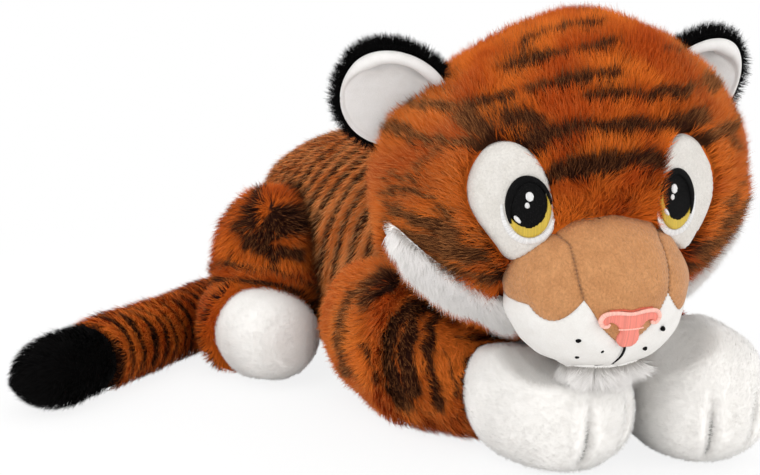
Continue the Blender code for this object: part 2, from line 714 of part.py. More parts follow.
def raised_cut(bm):
    """Lifts the top of a pressed cutter, so that it reaches through the piece that it cuts."""
    for vert in bm.verts:
        if vert.co.z > PAW_HEIGHT / 2:
            vert.co.z += FRONT_LEG_HEIGHT_TOP / 2
    return bm


def haunch_form(side, grow=0.0):
    def place(u, v):
        x = (HAUNCH_WIDTH / 2 + grow) * math.sin(u) * math.cos(v)
        y = (HAUNCH_LENGTH / 2 + grow) * math.sin(u) * math.sin(v)
        z = (HAUNCH_HEIGHT / 2 + grow) * math.cos(u)
        return (side * HAUNCH_X + x, HAUNCH_Y + y, HAUNCH_Z + z)

    return closed_form(HAUNCH_RINGS, HAUNCH_SIDES, place)


def lower_leg_form(side, grow=0.0):
    ahead = Matrix.Rotation(side * FOOT_YAW, 2) @ Vector((0, -FOOT_LENGTH / 2))
    middle = Vector((side * FOOT_X, FOOT_Y))
    return limb_form((middle - ahead, middle, middle + ahead), (FOOT_WIDTH / 2, FOOT_WIDTH / 2),
                     (FOOT_HEIGHT / 2, FOOT_HEIGHT / 2), grow, 0.62, FOOT_RINGS, FOOT_SIDES)


def make_rear_leg(side, word):
    """A haunch against the flank, and a lower leg below it whose front end is the white foot."""
    hip = pivot(f"hip_{word}", (side * HIP_X, HIP_Y, 0))
    steps = swing_angles(-side * REAR_SPLAY_RANGE)
    beside = swept(f"torso_for_haunch_{word}", torso_form, hip.location, steps)
    beside += swept(f"tail_for_haunch_{word}", tail_form, hip.location, steps)
    haunch = add_piece(f"haunch_{word}", laid_on_floor(haunch_form(side)), hip, "long_pile")
    cut(haunch, "DIFFERENCE", *beside)
    over = add_piece(f"haunch_for_shin_{word}", haunch_form(side, SEAM_GAP), hip)
    ahead = Matrix.Rotation(side * FOOT_YAW, 3, "Z") @ Vector((0, -1, 0))
    seam = Vector((side * FOOT_X, FOOT_Y, 0)) + ahead * FOOT_SEAM_AHEAD
    shin = split_off(lower_leg_form(side), seam - ahead * SEAM_GAP / 2, ahead)
    shin = add_piece(f"shin_{word}", laid_on_floor(shin), hip, "long_pile")
    foot = split_off(lower_leg_form(side), seam + ahead * SEAM_GAP / 2, -ahead)
    foot = add_piece(f"rear_foot_{word}", laid_on_floor(foot), hip, "white_plush")
    for obj in (shin, foot):
        cut(obj, "DIFFERENCE", over, *beside)


def tail_shares(first, last):
    """Shares of the tail's length for its rings, closer together at its rounded ends."""
    ends = [TAIL_END_SHARE * (1 - math.cos(math.pi / 2 * i / TAIL_END_RINGS))
            for i in range(TAIL_END_RINGS)]
    inner_first = max(first, TAIL_END_SHARE)
    inner_last = min(last, 1 - TAIL_END_SHARE)
    rings = max(round(TAIL_RINGS * (inner_last - inner_first)), 3)
    inner = [between(inner_first, inner_last, i / rings) for i in range(rings + 1)]
    return ([end for end in ends if first == 0.0] + inner
            + [1 - end for end in reversed(ends) if last == 1.0])


def tail_form(grow=0.0, first=0.0, last=1.0):
    """The tail between two shares of its length, flat where it is cut and round at its own ends."""
    points = ((0, TAIL_ROOT_Y), TAIL_BEND, TAIL_SWEEP, TAIL_END)
    bm = bmesh.new()
    loops = []
    for share in tail_shares(first, last):
        middle = curve_point(points, share)
        ahead = curve_point(points, min(share + 0.01, 1)) - curve_point(points, max(share - 0.01, 0))
        across = Vector((ahead.y, -ahead.x)).normalized()
        if share < 0.5:
            radius = between(TAIL_RADIUS_ROOT, TAIL_RADIUS_MIDDLE, smooth_share(2 * share))
        else:
            radius = between(TAIL_RADIUS_MIDDLE, TAIL_RADIUS_TIP, smooth_share(2 * share - 1))
        lift = between(TAIL_ROOT_Z, radius - FLOOR_CUT, smooth_share(TAIL_SETTLE_RATE * share))
        to_end = min(share, 1 - share, TAIL_END_SHARE) / TAIL_END_SHARE
        radius = (radius + grow) * math.sqrt(1 - (1 - to_end) ** 2)
        if to_end == 0:
            loops.append([bm.verts.new((middle.x, middle.y, lift))])
            continue
        loop = []
        for j in range(TAIL_SIDES):
            angle = 2 * math.pi * j / TAIL_SIDES
            side = across * radius * math.cos(angle)
            loop.append(bm.verts.new((middle.x + side.x, middle.y + side.y,
                                      lift + radius * math.sin(angle))))
        loops.append(loop)
    for near, far in zip(loops, loops[1:]):
        for j in range(TAIL_SIDES):
            k = (j + 1) % TAIL_SIDES
            if len(near) == 1:
                bm.faces.new((near[0], far[j], far[k]))
            elif len(far) == 1:
                bm.faces.new((near[j], far[0], near[k]))
            else:
                bm.faces.new((near[j], far[j], far[k], near[k]))
    for loop in (loops[0], loops[-1]):
        if len(loop) > 1:
            bm.faces.new(loop)
    bmesh.ops.recalc_face_normals(bm, faces=bm.faces)
    return bm


def make_tail():
    """The striped tail, and its black tip sewn on at a ring seam."""
    root = pivot("tail_root", (0, TAIL_ROOT_Y, 0))
    half_seam = SEAM_GAP / TORSO_LENGTH / 2
    striped = laid_on_floor(tail_form(0.0, 0.0, TAIL_TIP_SHARE - half_seam))
    tail = add_piece("tail", striped, root, "long_pile")
    cut(tail, "DIFFERENCE", *swept("torso_for_tail", torso_form, root.location,
                                   swing_angles(TAIL_SWING_BACK)))
    add_piece("tail_tip", laid_on_floor(tail_form(0.0, TAIL_TIP_SHARE + half_seam, 1.0)), root,
              "black_plush")


def stood_over_origin():
    """Moves the finished toy so that the middle of its box is over the origin."""
    bpy.context.view_layer.update()
    finished = bpy.context.evaluated_depsgraph_get()
    places = [obj.matrix_world @ vert.co for obj in bpy.data.objects
              if obj.type == "MESH" and not obj.hide_render
              for vert in obj.evaluated_get(finished).data.vertices]
    for axis in (0, 1):
        reach = [place[axis] for place in places]
        middle = (min(reach) + max(reach)) / 2
        for obj in bpy.data.objects:
            if obj.parent is None:
                obj.location[axis] -= middle


def build():
    start_empty()
    make_torso()
    neck = pivot("neck", (0, NECK_Y, 0), HEAD_TURN)
    make_head(neck)
    make_muzzle(neck)
    make_eyes(neck)
    make_nose_and_mouth(neck)
    make_jaw_trim(neck)
    make_ears(neck)
    make_front_leg(-1, "right", FRONT_WRIST_RIGHT, FRONT_BOW_RIGHT, RIGHT_PAW_YAW)
    make_front_leg(1, "left", FRONT_WRIST_LEFT, FRONT_BOW_LEFT, LEFT_PAW_YAW)
    make_rear_leg(-1, "right")
    make_rear_leg(1, "left")
    make_tail()
    stood_over_origin()


build()
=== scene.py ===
# %% [markdown]
# # A plush tiger, dressed over its solids
# The toy lies on its belly with its head over its front paws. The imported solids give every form
# its place. This lesson sews a cover over each of them: a fine skin, a pile of real strands combed
# the way the fabric lies, and the panels and embroidery of the face.

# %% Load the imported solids
import json
import math

import bpy
import numpy as np
from mathutils import Matrix, Vector, kdtree
from mathutils.geometry import delaunay_2d_cdt


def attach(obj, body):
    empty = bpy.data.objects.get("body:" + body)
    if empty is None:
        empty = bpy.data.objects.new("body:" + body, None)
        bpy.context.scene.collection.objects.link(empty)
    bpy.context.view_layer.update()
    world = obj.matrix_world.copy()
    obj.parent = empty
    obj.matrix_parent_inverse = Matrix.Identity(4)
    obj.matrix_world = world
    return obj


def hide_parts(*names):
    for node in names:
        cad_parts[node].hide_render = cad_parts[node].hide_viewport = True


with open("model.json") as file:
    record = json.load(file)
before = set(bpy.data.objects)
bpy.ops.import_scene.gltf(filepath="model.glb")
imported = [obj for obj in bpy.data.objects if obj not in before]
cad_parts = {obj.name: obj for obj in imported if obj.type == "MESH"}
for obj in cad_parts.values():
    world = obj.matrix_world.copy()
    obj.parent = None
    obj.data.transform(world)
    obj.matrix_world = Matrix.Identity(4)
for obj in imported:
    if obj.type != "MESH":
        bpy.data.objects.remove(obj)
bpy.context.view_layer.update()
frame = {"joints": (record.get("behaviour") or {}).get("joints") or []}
JOINTS = {joint["name"]: joint for joint in frame["joints"]}

# %% [markdown]
# ## Two drawing frames
# The toy is drawn with the neck seam at a round number and the head looking straight ahead, as a
# pattern maker would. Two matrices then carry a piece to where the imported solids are: one for the
# body, and one for the head, which is turned 20 degrees to the toy's right. The head_turn joint
# says where the neck is, so nothing is fitted by eye.

# %% The drawing frames
NECK_Y = -0.110
HEAD_TURN = math.radians(-20)
neck_place = Vector(JOINTS["head_turn"]["pos_m"])
ON_BODY = Matrix.Translation((neck_place.x, neck_place.y - NECK_Y, 0))
ABOUT_NECK = Matrix.Translation((0, NECK_Y, 0))
ON_HEAD = ON_BODY @ ABOUT_NECK @ Matrix.Rotation(HEAD_TURN, 4, "Z") @ ABOUT_NECK.inverted()


def through(matrix, points):
    """Points, as rows of three, carried by a matrix."""
    table = np.array(matrix)
    return points @ table[:3, :3].T + table[:3, 3]


def unit(rows):
    """Rows of three, each made one long."""
    return rows / np.maximum(np.linalg.norm(rows, axis=-1, keepdims=True), 1e-12)


def eased(share):
    share = np.clip(share, 0, 1)
    return share * share * (3 - 2 * share)


def signed_power(value, power):
    """A power below 1 makes a round outline boxier."""
    return np.sign(value) * np.abs(value) ** power


def stacked(x, y, z):
    return np.stack(np.broadcast_arrays(x, y, z), axis=-1)


def ripple(points, size, seed):
    """A smooth random value over space, about -1 to 1, that repeats each run."""
    random = np.random.default_rng(seed)
    total = np.zeros(len(points))
    for _ in range(6):
        direction = unit(random.normal(size=3)) * 2 * math.pi / size * random.uniform(0.5, 1.4)
        total += np.sin(points @ direction + random.uniform(0, 2 * math.pi))
    return total / 2.4


print("body drawn at", tuple(round(v, 4) for v in ON_BODY.translation))

# %% [markdown]
# ## The forms
# Each stuffed form is a function from two angles to a place, u from pole to pole and v round the
# axis. The same function gives the cover's mesh, the places where its pile grows, and the test of
# what another form hides. The covers sit a little inside the solids, so that the pile ends about
# where the solids do.

# %% Torso, head and muzzle
LONG_PILE_INSET = 0.0035
TORSO_MIDDLE_Y, TORSO_HALF_LENGTH = 0.012, 0.140
TORSO_HALF_WIDTH, TORSO_HALF_HEIGHT = 0.080, 0.077
HEAD_Y, HEAD_Z = -0.200, 0.160
HEAD_HALF_WIDTH, HEAD_HALF_DEPTH = 0.108, 0.104
HEAD_ABOVE, HEAD_BELOW = 0.108, 0.086
CHEEK_SHARE = 0.05
MUZZLE_Y, MUZZLE_Z = -0.283, 0.118
MUZZLE_HALF = (0.055, 0.050, 0.048)


def torso_at(u, v, grow=0.0):
    along = np.cos(u)
    fullness = np.where(along < 0, np.abs(np.sin(u)) ** 0.82, np.abs(np.sin(u)))
    drop = np.where(along > 0, 0.06, 0.10)
    up = np.sin(v)
    high = (TORSO_HALF_HEIGHT + grow) * fullness
    z = np.where(up > 0, high * up * (1 - drop * along * along), high * signed_power(up, 0.75))
    x = (TORSO_HALF_WIDTH + grow) * fullness * np.cos(v)
    return stacked(x, TORSO_MIDDLE_Y + (TORSO_HALF_LENGTH + grow) * along, TORSO_HALF_HEIGHT + z)


def cheek_factor(height):
    return 1 + CHEEK_SHARE * np.sin(np.pi * np.clip(0.45 - height, 0, 1))


def head_at(u, v, grow=0.0):
    height = np.cos(u)
    reach = np.where(height > 0, HEAD_ABOVE, HEAD_BELOW) + grow
    x = (HEAD_HALF_WIDTH + grow) * np.sin(u) * np.cos(v) * cheek_factor(height)
    return stacked(x, HEAD_Y + (HEAD_HALF_DEPTH + grow) * np.sin(u) * np.sin(v), HEAD_Z + reach * height)


def head_front(x, z, grow=0.0):
    """The place on the front of the head form at (x, z), seen straight on."""
    height = np.clip((z - HEAD_Z) / (np.where(z > HEAD_Z, HEAD_ABOVE, HEAD_BELOW) + grow), -0.999, 0.999)
    around = np.sqrt(1 - height * height)
    half = (HEAD_HALF_WIDTH + grow) * around * cheek_factor(height)
    side = np.clip(x / half, -0.999, 0.999)
    return stacked(x, HEAD_Y - (HEAD_HALF_DEPTH + grow) * around * np.sqrt(1 - side * side), z)


def muzzle_front(x, z, grow=0.0):
    """The place on the front of the muzzle at (x, z); outside its outline, on the outline."""
    wide, deep, high = (half + grow for half in MUZZLE_HALF)
    p, q = x / wide, (z - MUZZLE_Z) / high
    reach = np.hypot(p, q)
    shrink = np.where(reach > 0.999, 0.999 / np.maximum(reach, 1e-9), 1.0)
    p, q = p * shrink, q * shrink
    return stacked(p * wide, MUZZLE_Y - deep * np.sqrt(1 - p * p - q * q), MUZZLE_Z + q * high)


def round_gap(points, middle, half):
    """Roughly how far places are outside an ellipsoid, measured along the line to its middle."""
    off = points - np.array(middle)
    reach = np.linalg.norm(off / np.array(half), axis=1)
    return np.linalg.norm(off, axis=1) * (1 - 1 / np.maximum(reach, 1e-6))


def torso_gap(points):
    return round_gap(points, (0, TORSO_MIDDLE_Y, TORSO_HALF_HEIGHT),
                     (TORSO_HALF_WIDTH, TORSO_HALF_LENGTH, TORSO_HALF_HEIGHT))


def head_gap(points):
    height = (points[:, 2] - HEAD_Z) / np.where(points[:, 2] > HEAD_Z, HEAD_ABOVE, HEAD_BELOW)
    squared = points.copy()
    squared[:, 0] /= cheek_factor(height)
    squared[:, 2] = HEAD_Z + height * HEAD_HALF_DEPTH
    return round_gap(squared, (0, HEAD_Y, HEAD_Z), (HEAD_HALF_WIDTH, HEAD_HALF_DEPTH, HEAD_HALF_DEPTH))


def muzzle_gap(points):
    return round_gap(points, (0, MUZZLE_Y, MUZZLE_Z), MUZZLE_HALF)


def head_slumped(points):
    """The head's stuffing has moved to its left: that cheek and side are fuller, and the crown is
    flatter towards the right."""
    x, z = points[..., 0], points[..., 2] - HEAD_Z
    moved = points.copy()
    full = 0.0055 * eased((z + 0.060) / 0.070) + 0.0060 * eased((z - 0.005) / 0.040)
    moved[..., 0] += full * eased((x - 0.045) / 0.050)
    moved[..., 0] += 0.0060 * eased((-x - 0.060) / 0.040) * eased((0.060 - z) / 0.050) * eased((z + 0.035) / 0.020)
    drop = np.interp(x, (-0.045, -0.015, 0.0, 0.025, 0.060), (0.0180, 0.0120, 0.0078, 0.0003, -0.0027))
    moved[..., 2] -= eased((z - 0.030) / 0.050) * drop
    return moved


def torso_slumped(points):
    """The shoulders are pushed up behind the head, and the rump is full."""
    moved = points.copy()
    raised = np.interp(points[..., 1], (-0.020, 0.050, 0.105, 0.125, 0.150), (0.0125, 0.0080, 0.0085, 0.0055, 0))
    moved[..., 2] += raised * eased((points[..., 2] - 0.070) / 0.050)
    return moved


def to_head_frame(points):
    """Places in the body's frame, as the head's frame sees them."""
    return through(ON_HEAD.inverted() @ ON_BODY, points)


# %% Legs, paws, haunches and tail
FLOOR_CUT = 0.0005
SHOULDER_X, SHOULDER_Y = 0.070, -0.048
FRONT_ROOT = (0.082, -0.036)
LEG_HALF_WIDTHS, LEG_HALF_HEIGHTS = (0.041, 0.032), (0.052, 0.037)
PAW_HALF = (0.039, 0.055, 0.0415)
PAW_AHEAD = 0.028
FRONT_SIDES = {
    "right": {"side": -1, "wrist": (-0.064, -0.207), "bow": 0.016, "yaw": math.radians(4)},
    "left": {"side": 1, "wrist": (0.028, -0.242), "bow": 0.034, "yaw": math.radians(-12)},
}
FOOT_X, FOOT_Y, FOOT_YAW = 0.105, 0.029, math.radians(10)
FOOT_HALF = (0.035, 0.055, 0.032)
HAUNCH_MIDDLE = (0.080, 0.047, 0.067)
HAUNCH_HALF = (0.041, 0.054, 0.060)
TAIL_LINE = ((0, 0.138), (-0.060, 0.152), (-0.150, 0.078), (-0.288, 0.022))
TAIL_RADII = (0.020, 0.022, 0.025)
TAIL_ROOT_Z, TAIL_TIP_SHARE, TAIL_END_SHARE = 0.038, 0.825, 0.080


def curve_at(points, share):
    """Places and directions on the Bezier curve of some (x, y) control points."""
    share = np.asarray(share)[..., None]
    rows = [np.array(p, float) + 0 * share for p in points]
    while len(rows) > 2:
        rows = [a + (b - a) * share for a, b in zip(rows, rows[1:])]
    return rows[0] + (rows[1] - rows[0]) * share, unit(rows[1] - rows[0])


def limb_at(u, v, line, half_widths, half_heights, grow=0.0, blunt=0.55):
    """A stuffed limb that lies on the floor along a curve."""
    share = (1 - np.cos(u)) / 2
    middle, ahead = curve_at(line, share)
    fullness = np.abs(np.sin(u)) ** blunt
    wide = half_widths[0] + (half_widths[1] - half_widths[0]) * eased(share) + grow
    high = half_heights[0] + (half_heights[1] - half_heights[0]) * eased(share)
    side = wide * fullness * np.cos(v)
    z = high - FLOOR_CUT + (high + grow) * fullness * np.sin(v)
    return stacked(middle[..., 0] + ahead[..., 1] * side, middle[..., 1] - ahead[..., 0] * side, z)


def turned_flat(x, y, angle):
    return x * math.cos(angle) - y * math.sin(angle), x * math.sin(angle) + y * math.cos(angle)


def paw_middle(spec):
    ahead = turned_flat(0, -PAW_AHEAD, spec["yaw"])
    return spec["wrist"][0] + ahead[0], spec["wrist"][1] + ahead[1]


def paw_at(u, v, spec, grow=0.0):
    fullness = np.abs(np.sin(u)) ** 0.80
    x = (PAW_HALF[0] + grow) * fullness * signed_power(np.cos(v), 0.80)
    y = (PAW_HALF[1] + grow) * fullness * signed_power(np.sin(v), 0.80)
    x, y = turned_flat(x, y, spec["yaw"])
    up = np.where(np.cos(u) < 0, signed_power(np.cos(u), 0.80), np.cos(u))
    middle = paw_middle(spec)
    return stacked(middle[0] + x, middle[1] + y, PAW_HALF[2] - FLOOR_CUT + (PAW_HALF[2] + grow) * up)


def front_leg_line(spec):
    root = np.array((spec["side"] * FRONT_ROOT[0], FRONT_ROOT[1]))
    wrist = np.array(spec["wrist"])
    return tuple(root), tuple((root + wrist) / 2 + (spec["side"] * spec["bow"], 0)), tuple(wrist)


def lower_leg_line(side):
    ahead = turned_flat(0, -FOOT_HALF[1], side * FOOT_YAW)
    middle = (side * FOOT_X, FOOT_Y)
    return ((middle[0] - ahead[0], middle[1] - ahead[1]), middle, (middle[0] + ahead[0], middle[1] + ahead[1]))


def lower_leg_at(u, v, side, grow=0.0):
    return limb_at(u, v, lower_leg_line(side), (FOOT_HALF[0],) * 2, (FOOT_HALF[2],) * 2, grow, 0.62)


def haunch_at(u, v, side, grow=0.0):
    x, y, z = HAUNCH_MIDDLE
    return stacked(side * x + (HAUNCH_HALF[0] + grow) * np.sin(u) * np.cos(v),
                   y + (HAUNCH_HALF[1] + grow) * np.sin(u) * np.sin(v),
                   z + (HAUNCH_HALF[2] + grow) * np.cos(u))


def tail_at(share, v, grow=0.0):
    middle, ahead = curve_at(TAIL_LINE, share)
    radius = np.where(share < 0.5,
                      TAIL_RADII[0] + (TAIL_RADII[1] - TAIL_RADII[0]) * eased(2 * share),
                      TAIL_RADII[1] + (TAIL_RADII[2] - TAIL_RADII[1]) * eased(2 * share - 1))
    lift = TAIL_ROOT_Z + (radius - FLOOR_CUT - TAIL_ROOT_Z) * eased(2.6 * share)
    to_end = np.minimum(np.minimum(share, 1 - share), TAIL_END_SHARE) / TAIL_END_SHARE
    radius = (radius + grow) * np.sqrt(np.maximum(1 - (1 - to_end) ** 2, 0))
    side = radius * np.cos(v)
    return stacked(middle[..., 0] + ahead[..., 1] * side, middle[..., 1] - ahead[..., 0] * side,
                   lift + radius * np.sin(v))


def leg_slumped(points, spec):
    """The outer rear side of a front leg is tucked in."""
    outer = 0.8 * spec["side"] * points[..., 0] + 0.56 * points[..., 1]
    tuck = 0.0115 * eased((outer - 0.004) / 0.034)
    return points - tuck[..., None] * (0.82 * spec["side"], 0.57, 0)


def head_underside(points, spec):
    """How low the head and its trim hang over places of a front leg, at every turn that both make."""
    lowest = np.full(len(points), 1.0)
    grow = 0.0058
    for leg_turn in np.linspace(0, spec["side"] * math.radians(12), 4):
        x, y = turned_flat(points[:, 0] - spec["side"] * SHOULDER_X, points[:, 1] - SHOULDER_Y, leg_turn)
        x, y = x + spec["side"] * SHOULDER_X, y + SHOULDER_Y - NECK_Y
        for head_turn in np.linspace(HEAD_TURN - math.radians(10), HEAD_TURN + math.radians(10), 5):
            hx, hy = turned_flat(x, y, -head_turn)
            for mid_y, mid_z, wide, deep, low in (
                (HEAD_Y, HEAD_Z, HEAD_HALF_WIDTH * (1 + CHEEK_SHARE), HEAD_HALF_DEPTH, HEAD_BELOW),
                (MUZZLE_Y, MUZZLE_Z, *MUZZLE_HALF),
            ):
                inside = 1 - (hx / (wide + grow)) ** 2 - ((hy + NECK_Y - mid_y) / (deep + grow)) ** 2
                under = mid_z - (low + grow) * np.sqrt(np.maximum(inside, 0))
                lowest = np.where(inside > 0, np.minimum(lowest, under), lowest)
    return lowest


def pressed(points, spec, give=0.004):
    """A leg or paw flattened where the head lies on it, with a soft edge."""
    over = head_underside(points, spec) - give / 2
    gap = points[:, 2] - over
    points = points.copy()
    points[:, 2] -= np.where(gap > give, gap, np.where(gap > -give, (gap + give) ** 2 / (4 * give), 0.0))
    return points


# %% [markdown]
# ## From a form to a mesh
# A cover is a closed grid over its form. The grid is pushed to the floor where the toy lies on it,
# because stuffing flattens there instead of being cut.

# %% Mesh helpers
def new_object(name, places, faces, matrix, material, slot):
    """A mesh object from rows of places and a list or array of faces, carried by a matrix."""
    mesh = bpy.data.meshes.new(name)
    mesh.from_pydata(through(matrix, np.asarray(places, float)).tolist(), [], [list(map(int, f)) for f in faces])
    mesh.shade_smooth()
    obj = bpy.data.objects.new(name, mesh)
    bpy.context.scene.collection.objects.link(obj)
    mesh.materials.append(material)
    return obj


def grid_faces(rings, sides):
    """Faces of a closed grid: a pole, then rings of places, then a pole."""
    ring = np.arange(rings)[:, None] * sides + 1
    j = np.arange(sides)[None, :]
    k = (j + 1) % sides
    near, far = ring[:-1], ring[1:]
    quads = np.stack((near + j, near + k, far + k, far + j), -1).reshape(-1, 4)
    last = rings * sides + 1
    j, k = j[0], k[0]
    caps = [(0, a + 1, b + 1) for a, b in zip(k, j)]
    caps += [(last, last - sides + a, last - sides + b) for a, b in zip(j, k)]
    return [tuple(q) for q in quads] + caps


def outward(places, faces):
    """Turns the faces over if the closed mesh is inside out."""
    corners = np.array([f[:3] for f in faces])
    a, b, c = (places[corners[:, i]] for i in range(3))
    if (np.cross(a, b) * c).sum() < 0:
        return [f[::-1] for f in faces]
    return faces


def closed_places(form, rings, sides, start=0.0, end=math.pi):
    u = start + (end - start) * np.arange(1, rings + 1) / (rings + 1)
    v = 2 * math.pi * np.arange(sides) / sides
    grid = form(u[:, None], v[None, :]).reshape(-1, 3)
    ends = [form(np.array(x), np.array(0.0)).reshape(1, 3) for x in (start, end)]
    return np.concatenate((ends[0], grid, ends[1]))


def settled(places, depth=0.0015):
    """Stuffing spreads where the form meets the floor."""
    places = places.copy()
    low = places[:, 2] < depth
    places[low, 2] = depth * np.exp(np.minimum(places[low, 2] / depth - 1, 0))
    return places


def area_normals(obj):
    """Places, triangles, triangle areas and vertex normals of a mesh object."""
    mesh = obj.data
    mesh.calc_loop_triangles()
    places = np.empty(len(mesh.vertices) * 3, np.float32)
    mesh.vertices.foreach_get("co", places)
    normals = np.empty(len(mesh.vertices) * 3, np.float32)
    mesh.vertex_normals.foreach_get("vector", normals)
    corners = np.empty(len(mesh.loop_triangles) * 3, np.int32)
    mesh.loop_triangles.foreach_get("vertices", corners)
    places, normals = (a.reshape(-1, 3).astype(float) for a in (places, normals))
    corners = corners.reshape(-1, 3)
    a, b, c = (places[corners[:, i]] for i in range(3))
    return places, corners, np.linalg.norm(np.cross(b - a, c - a), axis=1) / 2, normals


def point_attribute(obj, name, values):
    """A number or a vector on each vertex, which the material reads by name."""
    values = np.asarray(values, np.float32)
    kind = "FLOAT_VECTOR" if values.ndim == 2 else "FLOAT"
    layer = obj.data.attributes.get(name) or obj.data.attributes.new(name, kind, "POINT")
    layer.data.foreach_set("vector" if values.ndim == 2 else "value", values.ravel())


# %% [markdown]
# ## Where the stripes lie
# The fabric is woven in stripes, and every panel is cut so that they run across it. A pattern
# function gives each place three numbers in metres: how far along the stripes' rhythm it is, how
# far round, and which form it is on. The covers and the pile both keep these numbers, so a strand
# has the colour of the place where it is rooted.

# %% Pattern places
def torso_pattern(points):
    x, y, z = points.T
    round_way = np.arctan2(x, z - TORSO_HALF_HEIGHT) * 0.078
    sway = 0.0020 * np.sin(round_way * 30 + 1.1) + 0.20 * (z - TORSO_HALF_HEIGHT)
    return stacked(y + sway, round_way, 0.1)


def head_pattern(points):
    x, y, z = points.T
    pitch = np.arctan2(z - HEAD_Z + 0.015, -(y - HEAD_Y))
    brow = 0.104 * pitch - 2.2 * x * x
    cheek = (z - HEAD_Z) + 0.55 * (y - HEAD_Y) + 0.075
    side = eased((np.abs(x) - 0.045) / 0.035)
    band = brow * (1 - side) + cheek * side
    return stacked(band, x + 0.5 * side * (y - HEAD_Y), 0.4)


def leg_pattern(spec):
    line = front_leg_line(spec)

    def pattern(points):
        shares = np.linspace(0, 1, 60)
        middle, _ = curve_at(line, shares)
        near = ((points[:, None, :2] - middle[None]) ** 2).sum(2).argmin(1)
        off = np.linalg.norm(points[:, :2] - middle[near], axis=1)
        length = np.linalg.norm(np.diff(middle, axis=0), axis=1).sum()
        return stacked(shares[near] * length - 0.35 * off - 0.25 * points[:, 2], points[:, 2] + off, 0.7)
    return pattern


SWIRL = (0.0965, 0.028, 0.1175)


def haunch_pattern(side):
    """Rings round the pile's swirl."""
    def pattern(points):
        off = points * (side, 1, 1) - SWIRL
        return stacked(0.62 * np.linalg.norm(off, axis=1), off[:, 2], 1.0)
    return pattern


def shin_pattern(side):
    def pattern(points):
        off = points - (side * FOOT_X, FOOT_Y, 0)
        return stacked(off[:, 1] + 0.2 * off[:, 2], off[:, 2] + off[:, 0], 1.3)
    return pattern


def tail_share(points):
    shares = np.linspace(0, 1, 240)
    middle, _ = curve_at(TAIL_LINE, shares)
    return shares[((points[:, None, :2] - middle[None]) ** 2).sum(2).argmin(1)]


def tail_pattern(points):
    share = tail_share(points)
    middle, ahead = curve_at(TAIL_LINE, share)
    off = points[:, :2] - middle
    across = off[:, 0] * ahead[:, 1] - off[:, 1] * ahead[:, 0]
    return stacked(share * 0.33, across + 0.6 * points[:, 2], 1.6)


# %% [markdown]
# The bold stripes of the head, the front legs and the haunches are drawn one by one: the places, in
# millimetres, that a stripe runs through, its half width and its strength.

# %% Drawn stripes
BROW_STRIPES = (
    (((-29, -224, 263), (-13, -224, 266), (5, -226, 266), (20, -229, 264)), 2.7, 0.75),
    (((-46, -240, 251), (-29, -245, 255), (-12, -249, 256), (6, -250, 257), (25, -249, 254)), 2.4, 0.75),
    (((-36, -266, 238), (-22, -269, 240), (-1, -271, 241), (17, -271, 240)), 3.1, 0.95),
    (((-72, -248, 227), (-62, -253, 231), (-50, -261, 234)), 3.7, 1.00),
    (((-5, -280, 231), (13, -282, 229), (33, -277, 227), (57, -266, 225), (88, -226, 221)), 3.1, 0.95),
    (((-77, -251, 219), (-72, -261, 214), (-65, -270, 211)), 5.4, 0.90),
    (((-50, -275, 219), (-40, -279, 222), (-36, -282, 219)), 3.1, 0.90),
    (((-37, -288, 208), (-26, -290, 212), (-8, -292, 215), (10, -292, 213), (29, -290, 211), (48, -282, 210),
      (70, -266, 210)), 3.5, 1.00),
    (((-43, -288, 203), (-35, -291, 204)), 2.7, 0.80),
    (((-37, -297, 186), (-26, -299, 189), (-12, -301, 191), (4, -301, 193), (16, -299, 195), (31, -297, 193)),
     3.9, 1.15),
    (((52, -245, 245), (76, -219, 239), (85, -210, 235)), 2.0, 0.60),
)
CHEEK_STRIPES = (
    (((92, -177, 215), (89, -221, 220), (77, -243, 224)), 2.7, 0.90),
    (((104, -189, 199), (101, -210, 203), (97, -229, 203)), 3.1, 0.80),
    (((98, -232, 200), (86, -253, 202), (73, -268, 203), (63, -275, 205)), 2.7, 0.90),
    (((98, -246, 188), (93, -251, 192), (87, -256, 197)), 2.4, 0.70),
    (((114, -214, 164), (108, -234, 171), (98, -254, 171), (90, -266, 167)), 2.0, 0.60),
    (((113, -213, 174), (109, -226, 178), (102, -244, 178)), 1.7, 0.55),
    (((112, -226, 156), (103, -248, 156), (92, -263, 153), (83, -273, 150)), 3.1, 0.90),
    (((112, -216, 144), (105, -235, 141), (93, -257, 141), (80, -272, 140), (65, -283, 138)), 3.4, 1.05),
    (((93, -247, 129), (82, -262, 128), (68, -275, 127), (58, -281, 125)), 2.9, 0.85),
    (((94, -260, 165), (85, -271, 162)), 2.7, 0.65),
)
LEG_STRIPES = (
    (((82, -111, 97), (95, -109, 96), (106, -105, 90), (113, -100, 83), (119, -98, 74), (123, -98, 62),
      (124, -98, 51), (123, -100, 42), (121, -104, 32)), 2.9, 0.95),
    (((95, -121, 92), (106, -115, 87), (114, -111, 80)), 2.9, 0.75),
    (((120, -122, 56), (119, -129, 44), (117, -132, 33)), 1.7, 0.65),
    (((121, -110, 37), (117, -116, 26)), 1.4, 0.55),
    (((90, -148, 85), (102, -143, 80), (110, -140, 71), (115, -141, 60), (116, -144, 46), (114, -148, 32),
      (110, -150, 24)), 4.1, 1.00),
    (((101, -150, 77), (107, -152, 68), (112, -156, 56), (112, -160, 44), (110, -162, 34)), 3.7, 1.00),
    (((85, -156, 84), (96, -163, 77), (103, -168, 64), (106, -174, 50), (104, -177, 35), (101, -178, 26)), 3.1,
     0.95),
    (((97, -179, 63), (99, -186, 49), (97, -189, 36)), 1.7, 0.65),
    (((80, -195, 62), (89, -193, 57), (93, -194, 46), (92, -194, 33), (88, -194, 23)), 3.1, 1.00),
    (((86, -157, 84), (81, -169, 80), (68, -177, 76)), 2.7, 0.70),
    (((91, -181, 69), (76, -187, 70)), 2.4, 0.70),
)
